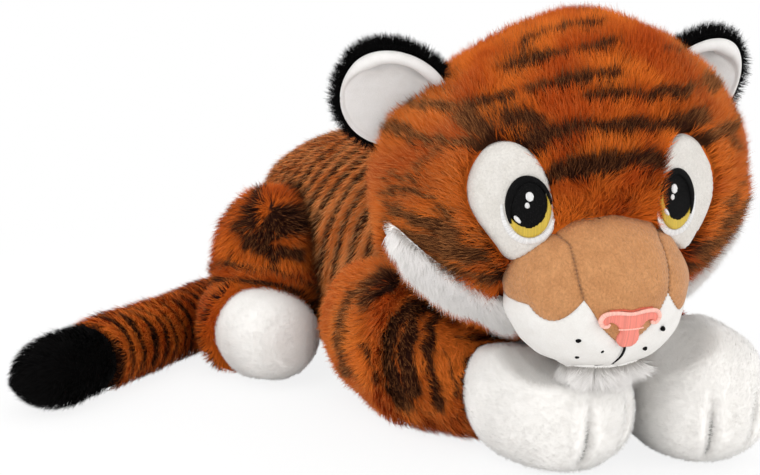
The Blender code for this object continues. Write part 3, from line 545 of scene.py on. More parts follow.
HAUNCH_STRIPES = (
    (((93, 14, 113), (86, 12, 114)), 6.2, 1.70),
    (((63, 42, 135), (62, 38, 124)), 3.1, 0.90),
    (((81, 60, 124), (97, 47, 123), (106, 41, 116), (108, 33, 110)), 3.1, 0.90),
    (((116, 30, 95), (113, 22, 94), (110, 14, 92), (105, 6, 86)), 3.6, 0.95),
    (((102, 4, 91), (96, -1, 90), (89, -4, 89)), 3.6, 0.85),
    (((123, 53, 72), (122, 35, 72), (117, 19, 71)), 3.6, 0.90),
    (((121, 44, 86), (122, 48, 78)), 2.0, 0.65),
    (((110, 43, 111), (115, 41, 103)), 2.0, 0.65),
    (((89, 35, 126), (95, 28, 121)), 1.7, 0.55),
    (((109, 22, 103), (106, 14, 100)), 2.2, 0.75),
    (((114, 49, 104), (115, 35, 100)), 2.0, 0.55),
)


def stroke_level(points, strokes, middle):
    """1 on the middle of a drawn stripe and a half at its edge. Both are seen from the form's middle,
    so a place above or below the stripe counts as on it."""
    wobble = 0.0014 * np.stack([ripple(points, 0.013, seed) for seed in (61, 62, 63)], 1)
    off = points + wobble - middle
    reach = np.linalg.norm(off, axis=1)
    rays = off / reach[:, None]
    level = np.zeros(len(points))
    for line, width, strength in strokes:
        line = unit(np.array(line, float) / 1000 - middle)
        start, run = line[:-1], np.diff(line, axis=0)
        share = np.clip(((rays[:, None] - start) * run).sum(2) / (run * run).sum(1), 0, 1)
        gap = np.linalg.norm(rays[:, None] - start - run * share[..., None], axis=2).min(1) * reach
        level = np.maximum(level, strength * np.exp(-0.69 * (gap / (1.2 * width / 1000)) ** 2))
    return 0.16 + 0.92 * level


SEEN_FROM_FRONT = np.array(((-0.819, -0.574, 0.0), (-0.129, 0.184, 0.974)))


def seen_level(points, strokes):
    """The same, but compared across and up in the photograph, wherever the surface has slumped to."""
    wobble = 0.0012 * np.stack([ripple(points, 0.012, seed) for seed in (61, 62)], 1)
    seen = points @ SEEN_FROM_FRONT.T + wobble
    level = np.zeros(len(points))
    for line, width, strength in strokes:
        line = np.array(line, float) / 1000 @ SEEN_FROM_FRONT.T
        start, run = line[:-1], np.diff(line, axis=0)
        share = np.clip(((seen[:, None] - start) * run).sum(2) / (run * run).sum(1), 0, 1)
        gap = np.linalg.norm(seen[:, None] - start - run * share[..., None], axis=2).min(1)
        level = np.maximum(level, strength * np.exp(-0.69 * (gap / (1.15 * width / 1000)) ** 2))
    return 0.05 + 0.95 * level


def rhythm(band, spacing):
    """An even wave of stripes where none are drawn."""
    return 0.5 + 0.42 * np.sin(2 * math.pi * band / spacing)


def head_strokes(points):
    """Drawn on the front, and an even rhythm over the back of the head."""
    middle = (0, HEAD_Y, HEAD_Z)
    cheeks = np.where(points[:, :1] < 0, points * (-1, 1, 1), points + (0, 0.004, 0.003))
    found = np.maximum(stroke_level(points, BROW_STRIPES, middle), stroke_level(cheeks, CHEEK_STRIPES, middle))
    behind = eased((points[:, 1] + 0.185) / 0.030)
    return found * (1 - behind) + rhythm(head_pattern(points)[:, 0], 0.0205) * behind


def leg_strokes(spec):
    """Drawn on the outer side, and an even rhythm on the inner side."""
    outline = leg_pattern(spec)

    def measure(points):
        own = points * (spec["side"], 1, 1) - (0, 0.0 if spec["side"] < 0 else -0.010, 0)
        inner = eased((0.078 - own[:, 0]) / 0.012)
        drawn = seen_level(own, LEG_STRIPES)
        return drawn * (1 - inner) + rhythm(outline(points)[:, 0], 0.0165) * inner
    return measure


def haunch_strokes(side):
    """Drawn, but for a plain ring between two thin dark lines round the foot."""
    def measure(points):
        level = stroke_level(points * (side, 1, 1), HAUNCH_STRIPES, HAUNCH_MIDDLE)
        gap = foot_gap(points, side) + 0.0008 * ripple(points, 0.014, 65)
        lines = np.maximum(np.exp(-0.69 * ((gap - 0.0035) / 0.0017) ** 2),
                           np.exp(-0.69 * ((gap - 0.0145) / 0.0022) ** 2))
        near = 1 - eased((gap - 0.0130) / 0.0040)
        return level * (1 - near) + lines * near
    return measure


def shin_strokes(side):
    """Narrow rings round the lower leg, the first of them close to the foot's seam."""
    ahead = np.array((*turned_flat(0, -1, side * FOOT_YAW), 0))

    def measure(points):
        back = -(points - (side * FOOT_X, FOOT_Y, 0)) @ ahead + 0.0012 * ripple(points, 0.016, 64)
        level = np.zeros(len(points))
        for place, width in ((0.0045, 0.0018), (0.0170, 0.0026), (0.0290, 0.0024), (0.0420, 0.0030)):
            level = np.maximum(level, np.exp(-0.69 * ((back - place) / width) ** 2))
        return level
    return measure


# %% [markdown]
# ## Materials
# Every finish is a plain Principled BSDF fed by a few shared groups. "Tiger stripes" turns a
# pattern place into a mask. "Fine grain" gives the small unevenness of any woven or stitched
# surface, as a colour factor and a height.

# %% Node helpers
def group(name, inputs, outputs):
    """An empty shader group with named sockets, and its input and output nodes."""
    tree = bpy.data.node_groups.new(name, "ShaderNodeTree")
    for socket, kind, value in inputs:
        made = tree.interface.new_socket(socket, in_out="INPUT", socket_type=kind)
        if value is not None:
            made.default_value = value
    for socket, kind in outputs:
        tree.interface.new_socket(socket, in_out="OUTPUT", socket_type=kind)
    return tree, tree.nodes.new("NodeGroupInput"), tree.nodes.new("NodeGroupOutput")


def node(tree, kind, **values):
    made = tree.nodes.new(kind)
    for key, value in values.items():
        setattr(made, key, value)
    return made


def maths(tree, operation, first, second=None, third=None, clamp=False):
    """A Math node. Each input is a socket or a number."""
    made = node(tree, "ShaderNodeMath", operation=operation, use_clamp=clamp)
    for i, value in enumerate((first, second, third)):
        if isinstance(value, bpy.types.NodeSocket):
            tree.links.new(value, made.inputs[i])
        elif value is not None:
            made.inputs[i].default_value = value
    return made.outputs[0]


def ranged(tree, value, low, high, to_low=0.0, to_high=1.0):
    """A value from one range mapped smoothly to another."""
    made = node(tree, "ShaderNodeMapRange", interpolation_type="SMOOTHSTEP")
    tree.links.new(value, made.inputs["Value"])
    for name, number in zip(("From Min", "From Max", "To Min", "To Max"), (low, high, to_low, to_high)):
        if isinstance(number, bpy.types.NodeSocket):
            tree.links.new(number, made.inputs[name])
        else:
            made.inputs[name].default_value = number
    return made.outputs["Result"]


def mixed(tree, factor, first, second, blend="MIX"):
    """A colour mix. Each colour is a socket or three numbers."""
    made = node(tree, "ShaderNodeMix", data_type="RGBA", blend_type=blend)
    if isinstance(factor, bpy.types.NodeSocket):
        tree.links.new(factor, made.inputs["Factor"])
    else:
        made.inputs["Factor"].default_value = factor
    for socket, value in ((made.inputs[6], first), (made.inputs[7], second)):
        if isinstance(value, bpy.types.NodeSocket):
            tree.links.new(value, socket)
        else:
            socket.default_value = (*value, 1)
    return made.outputs[2]


def noise(tree, vector, scale, detail=2.0, roughness=0.5):
    made = node(tree, "ShaderNodeTexNoise")
    made.inputs["Scale"].default_value = scale
    made.inputs["Detail"].default_value = detail
    made.inputs["Roughness"].default_value = roughness
    if vector is not None:
        tree.links.new(vector, made.inputs["Vector"])
    return made.outputs["Fac"]


def attribute(tree, name):
    return node(tree, "ShaderNodeAttribute", attribute_name=name).outputs


def placed(tree, group_tree, **inputs):
    """A group node whose inputs are sockets or values."""
    made = node(tree, "ShaderNodeGroup")
    made.node_tree = group_tree
    for name, value in inputs.items():
        socket = made.inputs[name.replace("_", " ")]
        if isinstance(value, bpy.types.NodeSocket):
            tree.links.new(value, socket)
        else:
            socket.default_value = value
    return made.outputs


def material(name, roughness, **fixed):
    """A new material with a plain Principled BSDF. Fixed numbers go straight on its sockets."""
    made = bpy.data.materials.new(name)
    made.use_nodes = True
    shader = made.node_tree.nodes["Principled BSDF"]
    shader.inputs["Roughness"].default_value = roughness
    for key, value in fixed.items():
        shader.inputs[key.replace("_", " ")].default_value = value
    return made, made.node_tree, shader


# %% The tiger stripes group
def build_stripes():
    tree, given, put = group("Tiger stripes", [
        ("Place", "NodeSocketVector", None),
        ("Spacing", "NodeSocketFloat", 0.012),
        ("Width", "NodeSocketFloat", 0.42),
        ("Wander", "NodeSocketFloat", 0.004),
        ("Breakup", "NodeSocketFloat", 0.35),
        ("Patches", "NodeSocketFloat", 0.5),
        ("Strand", "NodeSocketFloat", 0.5),
        ("Drawn", "NodeSocketFloat", 0.0),
        ("Drawn share", "NodeSocketFloat", 0.0),
    ], [("Stripe", "NodeSocketFloat"), ("Depth", "NodeSocketFloat")])
    split = node(tree, "ShaderNodeSeparateXYZ")
    tree.links.new(given.outputs["Place"], split.inputs[0])
    wander = maths(tree, "SUBTRACT", noise(tree, given.outputs["Place"], 38, 2.0, 0.55), 0.5)
    shifted = maths(tree, "MULTIPLY_ADD", wander, maths(tree, "MULTIPLY", given.outputs["Wander"], 6.0),
                    split.outputs["X"])
    phase = maths(tree, "DIVIDE", shifted, given.outputs["Spacing"])
    wave = maths(tree, "SINE", maths(tree, "MULTIPLY", phase, 2 * math.pi))
    wave = maths(tree, "MULTIPLY_ADD", wave, 0.5, 0.5)
    wave = maths(tree, "MULTIPLY", wave, maths(tree, "SUBTRACT", 1.0, given.outputs["Drawn share"]))
    wave = maths(tree, "MULTIPLY_ADD", given.outputs["Drawn"], given.outputs["Drawn share"], wave)
    longer = node(tree, "ShaderNodeCombineXYZ")
    tree.links.new(maths(tree, "MULTIPLY", phase, 0.012), longer.inputs["X"])
    tree.links.new(maths(tree, "MULTIPLY", split.outputs["Y"], 0.55), longer.inputs["Y"])
    tree.links.new(split.outputs["Z"], longer.inputs["Z"])
    broken = noise(tree, longer.outputs[0], 62, 2.0, 0.5)
    patchy = noise(tree, given.outputs["Place"], 24, 1.0, 0.5)
    level = maths(tree, "MULTIPLY_ADD", maths(tree, "SUBTRACT", broken, 0.5), given.outputs["Breakup"], wave)
    level = maths(tree, "MULTIPLY_ADD", maths(tree, "SUBTRACT", patchy, 0.5), given.outputs["Patches"], level)
    level = maths(tree, "MULTIPLY_ADD", maths(tree, "SUBTRACT", given.outputs["Strand"], 0.5), 0.50, level)
    edge = maths(tree, "SUBTRACT", 1.0, given.outputs["Width"])
    stripe = ranged(tree, level, maths(tree, "SUBTRACT", edge, 0.13), maths(tree, "ADD", edge, 0.13))
    tree.links.new(stripe, put.inputs["Stripe"])
    tree.links.new(patchy, put.inputs["Depth"])
    return tree


STRIPES = build_stripes()
print("group:", STRIPES.name)


# %% The fine grain group
def build_grain():
    tree, given, put = group("Fine grain", [
        ("Place", "NodeSocketVector", None),
        ("Scale", "NodeSocketFloat", 900.0),
        ("Stretch", "NodeSocketVector", (1, 1, 1)),
        ("Contrast", "NodeSocketFloat", 0.2),
    ], [("Tone", "NodeSocketFloat"), ("Height", "NodeSocketFloat")])
    stretch = node(tree, "ShaderNodeVectorMath", operation="MULTIPLY")
    tree.links.new(given.outputs["Place"], stretch.inputs[0])
    tree.links.new(given.outputs["Stretch"], stretch.inputs[1])
    fine = node(tree, "ShaderNodeTexNoise")
    tree.links.new(stretch.outputs[0], fine.inputs["Vector"])
    tree.links.new(given.outputs["Scale"], fine.inputs["Scale"])
    fine.inputs["Detail"].default_value = 3.0
    fine.inputs["Roughness"].default_value = 0.6
    fine.inputs["Distortion"].default_value = 0.6
    off = maths(tree, "SUBTRACT", fine.outputs["Fac"], 0.5)
    tone = maths(tree, "MULTIPLY_ADD", off, maths(tree, "MULTIPLY", given.outputs["Contrast"], 2.0), 1.0)
    tree.links.new(tone, put.inputs["Tone"])
    tree.links.new(fine.outputs["Fac"], put.inputs["Height"])
    return tree


GRAIN = build_grain()
print("group:", GRAIN.name)

# %% [markdown]
# ## The fabrics
# The long pile is orange with dark stripes, and many of its tips are left undyed, which frosts the
# dark stripes with tan. Its roots are painted darker, as shade deep in the pile. A strand carries its
# own random number, so no two have quite the same shade. The cover below it uses the same material
# with a fixed strand number, and takes part of the roots' painted shade.

# %% Long pile
VIVID = ((0.44, 0.054, 0.003), (0.74, 0.156, 0.014))
BRIGHT = ((0.54, 0.080, 0.006), (0.82, 0.200, 0.024))
OCHRE = ((0.62, 0.145, 0.022), (0.80, 0.265, 0.070))
STRIPE_DARK, TIP_TAN = (0.030, 0.0075, 0.0030), (0.60, 0.222, 0.068)


def tinted(tree, colour, shade):
    """A colour multiplied by a shade."""
    tint = node(tree, "ShaderNodeCombineColor")
    for channel in tint.inputs:
        tree.links.new(shade, channel)
    return mixed(tree, 1.0, colour, tint.outputs[0], "MULTIPLY")


def striped_pile(name, spacing, width, wander, breakup, patches, frost, oranges=VIVID, drawn=False,
                 pale=TIP_TAN):
    made, tree, shader = material(name, 0.75, Specular_IOR_Level=0.06)
    place = attribute(tree, "pattern")["Vector"]
    along = attribute(tree, "along")["Fac"]
    strand = attribute(tree, "strand")["Fac"]
    stripes = placed(tree, STRIPES, Place=place, Spacing=spacing, Width=width, Wander=wander, Breakup=breakup,
                     Patches=patches, Strand=strand, Drawn=attribute(tree, "stroke")["Fac"],
                     Drawn_share=1.0 if drawn else 0.0)
    orange = mixed(tree, ranged(tree, noise(tree, place, 30, 2.0), 0.35, 0.65), *oranges)
    colour = mixed(tree, stripes["Stripe"], orange, STRIPE_DARK)
    tips = maths(tree, "MULTIPLY", ranged(tree, along, 0.45, 1.0), ranged(tree, strand, 0.20, 0.95))
    uneven = ranged(tree, noise(tree, place, 16, 1.0), 0.35, 0.65, 0.75 * frost, 1.2 * frost)
    uneven = maths(tree, "MULTIPLY_ADD", attribute(tree, "frost")["Fac"], 0.55, uneven)
    frosted = maths(tree, "MULTIPLY", tips, uneven, clamp=True)
    colour = mixed(tree, frosted, colour, pale)
    colour = mixed(tree, maths(tree, "MULTIPLY", attribute(tree, "frost")["Fac"], 0.10), colour, pale)
    # Painted shade: the colour darkens towards the roots, as shade deep in the pile, and down to 0.16 of itself where
    # the crease mark is 1, as shade in creases and below the head.
    shade = maths(tree, "MULTIPLY", ranged(tree, along, -0.2, 0.6, 0.40, 1.0),
                  ranged(tree, strand, 0.0, 1.0, 0.86, 1.12))
    shade = maths(tree, "MULTIPLY", shade, ranged(tree, attribute(tree, "crease")["Fac"], 0.0, 1.0, 1.0, 0.16))
    tree.links.new(tinted(tree, colour, shade), shader.inputs["Base Color"])
    tree.links.new(ranged(tree, strand, 0.0, 1.0, 0.65, 0.85), shader.inputs["Roughness"])
    return made


PILE_TORSO = striped_pile("striped long pile, body", 0.0138, 0.43, 0.0006, 0.55, 0.30, 1.40, OCHRE,
                          pale=(0.62, 0.290, 0.115))
PILE_HEAD = striped_pile("striped long pile, head", 0.0165, 0.58, 0.0036, 1.15, 0.85, 0.38, drawn=True)
PILE_LEG = striped_pile("striped long pile, legs", 0.0165, 0.54, 0.0040, 1.00, 0.80, 0.72, BRIGHT, drawn=True)
PILE_SHIN = striped_pile("striped long pile, shins", 0.0165, 0.52, 0.0040, 0.40, 0.30, 0.50, drawn=True)
PILE_HAUNCH = striped_pile("striped long pile, haunches", 0.021, 0.63, 0.0080, 1.10, 1.00, 0.50, drawn=True)
PILE_TAIL = striped_pile("striped long pile, tail", 0.0112, 0.35, 0.0020, 0.70, 0.45, 0.60, BRIGHT)
print("long pile in six rhythms of stripes")


# %% Plain pile, white and black
def plain_pile(name, root, tip, roughness, sheen, gloss, deep):
    made, tree, shader = material(name, roughness, Specular_IOR_Level=gloss, Sheen_Weight=sheen,
                                    Sheen_Roughness=0.5)
    along = attribute(tree, "along")["Fac"]
    strand = attribute(tree, "strand")["Fac"]
    # A darker root colour paints the shade deep in the pile; the crease mark darkens the paws' stitched toe lines.
    colour = mixed(tree, ranged(tree, along, -0.1, 0.7), root, tip)
    shade = maths(tree, "MULTIPLY", ranged(tree, strand, 0.0, 1.0, 0.95, 1.03),
                  ranged(tree, attribute(tree, "crease")["Fac"], 0.0, 1.0, 1.0, deep))
    tree.links.new(tinted(tree, colour, shade), shader.inputs["Base Color"])
    tree.links.new(ranged(tree, strand, 0.0, 1.0, roughness - 0.1, roughness + 0.1), shader.inputs["Roughness"])
    return made


WHITE_PILE = plain_pile("white plush", (0.92, 0.90, 0.865), (0.94, 0.92, 0.89), 0.80, 0.60, 0.10, 0.30)
# The long white pile's roots are painted far darker than its tips, as the shade among strands that throw no shadow.
WHITE_FUR = plain_pile("white long pile", (0.46, 0.43, 0.40), (0.95, 0.93, 0.91), 0.80, 0.60, 0.10, 0.30)
BLACK_PILE = plain_pile("black pile", (0.0015, 0.0015, 0.0015), (0.0035, 0.0032, 0.0032), 0.75, 0.0, 0.05, 0.5)


# %% Short fabrics: velboa and minky
def short_fabric(name, colour, light, scale, stretch, contrast, bump, roughness, deep=0.85, sheen=0.15, gloss=0.3):
    """A short nap: its grain tints the colour, and raises a fine bump. Where the seam mark is low the
    colour is painted darker: shade in the muzzle's sewn grooves, with a wave for the stitches, and the
    roll's shadow in the ears' hollows.
    """
    made, tree, shader = material(name, roughness, Sheen_Weight=sheen, Sheen_Roughness=0.4,
                                    Specular_IOR_Level=gloss)
    place = attribute(tree, "pattern")["Vector"]
    grain = placed(tree, GRAIN, Place=place, Scale=scale, Stretch=stretch, Contrast=contrast)
    broad = ranged(tree, noise(tree, place, 110, 3.0, 0.6), 0.30, 0.70)
    base = mixed(tree, broad, colour, light)
    seam = attribute(tree, "seam")["Fac"]
    stitch = attribute(tree, "stitch")["Fac"]
    # How dark a seam is painted, about deep, with the stitch mark's wave on it: painted shade in the groove, and its
    # stitches.
    thread = maths(tree, "MULTIPLY_ADD", maths(tree, "SINE", maths(tree, "MULTIPLY", stitch, 2 * math.pi)),
                   0.4 * (1 - deep), deep)
    shade = maths(tree, "MULTIPLY", grain["Tone"], ranged(tree, seam, 0.0, 2.2, thread, 1.0))
    tree.links.new(tinted(tree, base, shade), shader.inputs["Base Color"])
    tree.links.new(ranged(tree, grain["Height"], 0.2, 0.8, roughness + 0.08, roughness - 0.08),
                   shader.inputs["Roughness"])
    raised = node(tree, "ShaderNodeBump")
    raised.inputs["Strength"].default_value = bump
    raised.inputs["Distance"].default_value = 0.0012
    tree.links.new(grain["Height"], raised.inputs["Height"])
    tree.links.new(raised.outputs[0], shader.inputs["Normal"])
    return made


# One white velboa in three brightnesses, each matched to how its place is lit: painted darker on the eye patches,
# which face the lamps, and lighter in the ears, which lie in shade. This is painted light.
PATCH_VELBOA_PAINTED_DARKER = short_fabric("white velboa, eye patches, painted darker for their light", (0.625, 0.595, 0.55), (0.665, 0.635, 0.595), 700,
                            (1, 1, 1), 0.20, 0.6, 0.8)
WHITE_VELBOA = short_fabric("white velboa, muzzle", (0.76, 0.735, 0.70), (0.80, 0.78, 0.75), 1300, (1, 1, 1),
                            0.08, 0.45, 0.8, 0.97)
EAR_VELBOA_PAINTED_LIGHTER = short_fabric("white velboa, ears, painted lighter for their shade", (0.82, 0.80, 0.775), (0.86, 0.84, 0.82), 1300, (1, 1, 1),
                          0.06, 0.3, 0.8, 0.60)
TAN_MINKY = short_fabric("tan minky", (0.478, 0.214, 0.080), (0.528, 0.245, 0.096), 820, (1, 0.55, 0.7),
                         0.44, 0.9, 0.78, 0.72, 0.2)
print("short fabrics:", [m.name for m in (PATCH_VELBOA_PAINTED_DARKER, WHITE_VELBOA, EAR_VELBOA_PAINTED_LIGHTER, TAN_MINKY)])


# %% [markdown]
# Satin stitches are threads laid side by side, half a millimetre apart. A saw-edged wave across the
# threads gives each its round back as a bump, and also paints the grooves between them darker, as
# painted shade. A slow noise makes some of them darker and a little shifted.

# %% Satin thread
def build_satin():
    tree, given, put = group("Satin stitches", [
        ("Place", "NodeSocketVector", None),
        ("Pitch", "NodeSocketFloat", 0.0005),
    ], [("Tone", "NodeSocketFloat"), ("Height", "NodeSocketFloat")])
    split = node(tree, "ShaderNodeSeparateXYZ")
    tree.links.new(given.outputs["Place"], split.inputs[0])
    sway = maths(tree, "SUBTRACT", noise(tree, given.outputs["Place"], 420, 1.0), 0.5)
    across = maths(tree, "MULTIPLY_ADD", sway, 0.0005, split.outputs["X"])
    phase = maths(tree, "DIVIDE", across, given.outputs["Pitch"])
    ridge = maths(tree, "ABSOLUTE", maths(tree, "SINE", maths(tree, "MULTIPLY", phase, math.pi)))
    number = node(tree, "ShaderNodeTexWhiteNoise", noise_dimensions="1D")
    tree.links.new(maths(tree, "FLOOR", phase), number.inputs["W"])
    tone = maths(tree, "MULTIPLY_ADD", number.outputs["Value"], 0.22, 0.72)
    # Painted shade: each thread is lighter along its round back and darker in the grooves.
    tone = maths(tree, "MULTIPLY_ADD", ridge, 0.20, tone)
    tree.links.new(tone, put.inputs["Tone"])
    tree.links.new(ridge, put.inputs["Height"])
    return tree


SATIN = build_satin()


def satin(name, colour, roughness, pitch=0.0005, specks=0.0, bump=0.7, gloss=0.5):
    made, tree, shader = material(name, roughness, Specular_IOR_Level=gloss)
    place = attribute(tree, "pattern")["Vector"]
    threads = placed(tree, SATIN, Place=place, Pitch=pitch)
    tint = node(tree, "ShaderNodeCombineColor")
    for channel in tint.inputs:
        tree.links.new(threads["Tone"], channel)
    base = mixed(tree, 1.0, colour, tint.outputs[0], "MULTIPLY")
    if specks:
        dots = ranged(tree, noise(tree, place, 2600, 0.0), 0.66, 0.74)
        base = mixed(tree, maths(tree, "MULTIPLY", dots, specks), base, (0.35, 0.34, 0.33))
    tree.links.new(base, shader.inputs["Base Color"])
    tree.links.new(ranged(tree, threads["Height"], 0.0, 1.0, roughness + 0.15, roughness), shader.inputs["Roughness"])
    raised = node(tree, "ShaderNodeBump")
    raised.inputs["Strength"].default_value = bump
    raised.inputs["Distance"].default_value = 0.00025
    tree.links.new(threads["Height"], raised.inputs["Height"])
    tree.links.new(raised.outputs[0], shader.inputs["Normal"])
    return made


BLACK_THREAD = satin("black satin thread", (0.0032, 0.0030, 0.0032), 0.50, 0.00045, 0.05, gloss=0.06)
GOLD_THREAD = satin("gold satin thread", (0.61, 0.425, 0.040), 0.38, 0.00055)
WHITE_THREAD = satin("white satin thread", (0.82, 0.81, 0.80), 0.45, 0.0005)
PINK_THREAD = satin("pink satin thread", (0.92, 0.262, 0.198), 0.42, 0.00050)
PINK_EDGE = satin("light pink satin thread", (0.98, 0.52, 0.43), 0.42, 0.00060)
# A red-orange band that paints the shade along the top edge of the nose.
NOSE_TOP_PAINTED_SHADE = satin("red-orange painted shade above the nose", (0.62, 0.11, 0.055), 0.5, 0.0005)
print("threads:", [m.name for m in (BLACK_THREAD, GOLD_THREAD, WHITE_THREAD, PINK_THREAD, PINK_EDGE)])

# %% [markdown]
# ## Growing the pile
# Blender can grow hair particles, but those are neither shaped by code that a reader can follow
# nor kept as a model. Here every strand is a ribbon of a few faces: it is rooted on the cover,
# leans the way the fabric is combed, bends over, and gathers with its neighbours into small tufts.
# The ribbon's normals are turned most of the way to the cover's own, so the pile is shaded softly,
# as a mass of fine fibres is.

# %% Sampling a cover
def surface(places, faces):
    """A cover as arrays: places, triangles, areas and vertex normals."""
    faces = [list(f) for f in faces]
    triangles = np.array([(f[0], f[i], f[i + 1]) for f in faces for i in range(1, len(f) - 1)])
    a, b, c = (places[triangles[:, i]] for i in range(3))
    across = np.cross(b - a, c - a)
    normals = np.zeros_like(places)
    for i in range(3):
        np.add.at(normals, triangles[:, i], across)
    return {"places": places, "triangles": triangles, "areas": np.linalg.norm(across, axis=1) / 2,
            "normals": unit(normals)}


def scattered(cover, per_square_mm, random, hidden=None):
    """Random roots on a cover with their normals, without those that are hidden."""
    count = int(cover["areas"].sum() * 1e6 * per_square_mm)
    chosen = random.choice(len(cover["areas"]), count, p=cover["areas"] / cover["areas"].sum())
    first, second = np.sqrt(random.random(count)), random.random(count)
    shares = np.stack((1 - first, first * (1 - second), first * second), 1)[..., None]
    corners = cover["triangles"][chosen]
    roots = (cover["places"][corners] * shares).sum(1)
    normals = unit((cover["normals"][corners] * shares).sum(1))
    if hidden is not None:
        kept = ~hidden(roots)
        roots, normals = roots[kept], normals[kept]
    return roots, normals


# %% Strands
def strand_rows(roots, normals, combed, random, length, width, lean, spread, tuft, clump, points, sway, outer):
    """Centre lines and ribbon edges of strands, from their roots to their tips. A strand that leans
    far shows its outer face, whose shade is the cover's."""
    count = len(roots)
    tangent = unit(combed - (combed * normals).sum(1)[:, None] * normals)
    turn = random.normal(0, spread, count) + sway * ripple(roots, 0.022, 7)
    aside = np.cross(normals, tangent)
    tangent = tangent * np.cos(turn)[:, None] + aside * np.sin(turn)[:, None]
    long = length * (1 + 0.20 * random.normal(size=count).clip(-2, 1.6)) * (1 + 0.10 * ripple(roots, 0.03, 3))
    start = lean[0] + 0.20 * random.normal(size=count) + 0.15 * ripple(roots, 0.04, 5)
    finish = lean[1] + 0.25 * random.normal(size=count)
    rows = [roots - normals * 0.0006]
    step = long / (points - 1)
    for i in range(points - 1):
        angle = start + (finish - start) * (i + 0.5) / (points - 1)
        ahead = normals * np.cos(angle)[:, None] + tangent * np.sin(angle)[:, None]
        rows.append(rows[-1] + ahead * step[:, None])
    rows = np.stack(rows, 1)
    cells = np.floor((roots + 0.3 * clump * np.stack([ripple(roots, 0.02, s) for s in (11, 12, 13)], 1)) / clump)
    _, owner = np.unique(cells @ (1, 4099, 4099 * 4099), return_inverse=True)
    owner = owner.ravel()
    members = np.bincount(owner)
    hold = random.random(len(members))[owner] * tuft
    for i in range(1, points):
        centre = np.stack([np.bincount(owner, rows[:, i, a]) / members for a in range(3)], 1)[owner]
        pull = (hold * (i / (points - 1)) ** 1.3)[:, None]
        rows[:, i] += pull * (centre - rows[:, i])
    rows[:, :, 2] = np.maximum(rows[:, :, 2], 0.0009)
    along = np.gradient(rows, axis=1)
    across = unit(np.cross(along, normals[:, None, :] if outer is None else unit(np.array(outer, float))))
    roll = random.uniform(-0.9, 0.9, count)[:, None, None]
    across = across * np.cos(roll) + np.cross(unit(along), across) * np.sin(roll)
    shape = np.interp(np.linspace(0, 1, points), (0, 0.55, 1), (1.0, 0.85, 0.0))
    half = 0.5 * width * (0.7 + 0.6 * random.random(count))[:, None] * shape[None, :]
    facing = unit(np.cross(across, unit(along)))
    return rows, across * half[..., None], facing


def pile_mesh(name, rows, edges, facing, normals, pattern, marks, soft, random, matrix, cover_material,
              body):
    """One mesh of ribbons, a strand in each cell of its own square texture grid."""
    count, points, _ = rows.shape
    left, right = rows - edges, rows + edges
    pairs = np.stack((left[:, :-1], right[:, :-1]), 2).reshape(count, -1, 3)
    places = np.concatenate((pairs, rows[:, -1:]), 1)
    per = 2 * points - 1
    base = (np.arange(count) * per)[:, None]
    quads = np.concatenate([base + (2 * i, 2 * i + 1, 2 * i + 3, 2 * i + 2) for i in range(points - 2)], 1)
    quads = quads.reshape(count, points - 2, 4)
    tips = base + (per - 3, per - 2, per - 1)
    loops = np.concatenate((quads.reshape(count, -1), tips), 1)
    sizes = np.tile([4] * (points - 2) + [3], count)
    starts = np.concatenate(([0], np.cumsum(sizes)[:-1]))
    mesh = bpy.data.meshes.new(name)
    mesh.vertices.add(count * per)
    mesh.vertices.foreach_set("co", through(matrix, places.reshape(-1, 3)).astype(np.float32).ravel())
    mesh.loops.add(loops.size)
    mesh.loops.foreach_set("vertex_index", loops.astype(np.int32).ravel())
    mesh.polygons.add(len(sizes))
    mesh.polygons.foreach_set("loop_start", starts.astype(np.int32))
    mesh.polygons.foreach_set("use_smooth", np.ones(len(sizes), bool))
    mesh.update(calc_edges=True)
    obj = bpy.data.objects.new(name, mesh)
    bpy.context.scene.collection.objects.link(obj)
    mesh.materials.append(cover_material)

    share = np.repeat(np.linspace(0, 1, points), 2)[:-1]
    point_attribute(obj, "along", np.tile(share, count))
    point_attribute(obj, "strand", np.repeat(random.random(count), per))
    point_attribute(obj, "pattern", np.repeat(pattern, per, axis=0))
    for mark, values in marks.items():
        point_attribute(obj, mark, np.repeat(values, per))
    side = int(math.ceil(math.sqrt(count)))
    cell = np.stack((np.arange(count) % side, np.arange(count) // side), 1)[:, None, :]
    inside = np.stack((np.tile((0.25, 0.75), points)[:per], 0.15 + 0.7 * share), 1)
    inside[-1, 0] = 0.5
    flat = ((cell + inside[None]) / side).reshape(-1, 2)
    layer = mesh.uv_layers.new(name="OFBake")
    layer.data.foreach_set("uv", flat[loops.ravel()].astype(np.float32).ravel())

    own = np.repeat(facing, 2, axis=1)[:, :per]
    turned = unit(own * (1 - soft) + normals[:, None, :] * soft).reshape(-1, 3) @ np.array(matrix)[:3, :3].T
    mesh.normals_split_custom_set_from_vertices(turned.astype(np.float32))
    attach(obj, body)
    return obj


STRANDS = {}
THINNER = 1.0


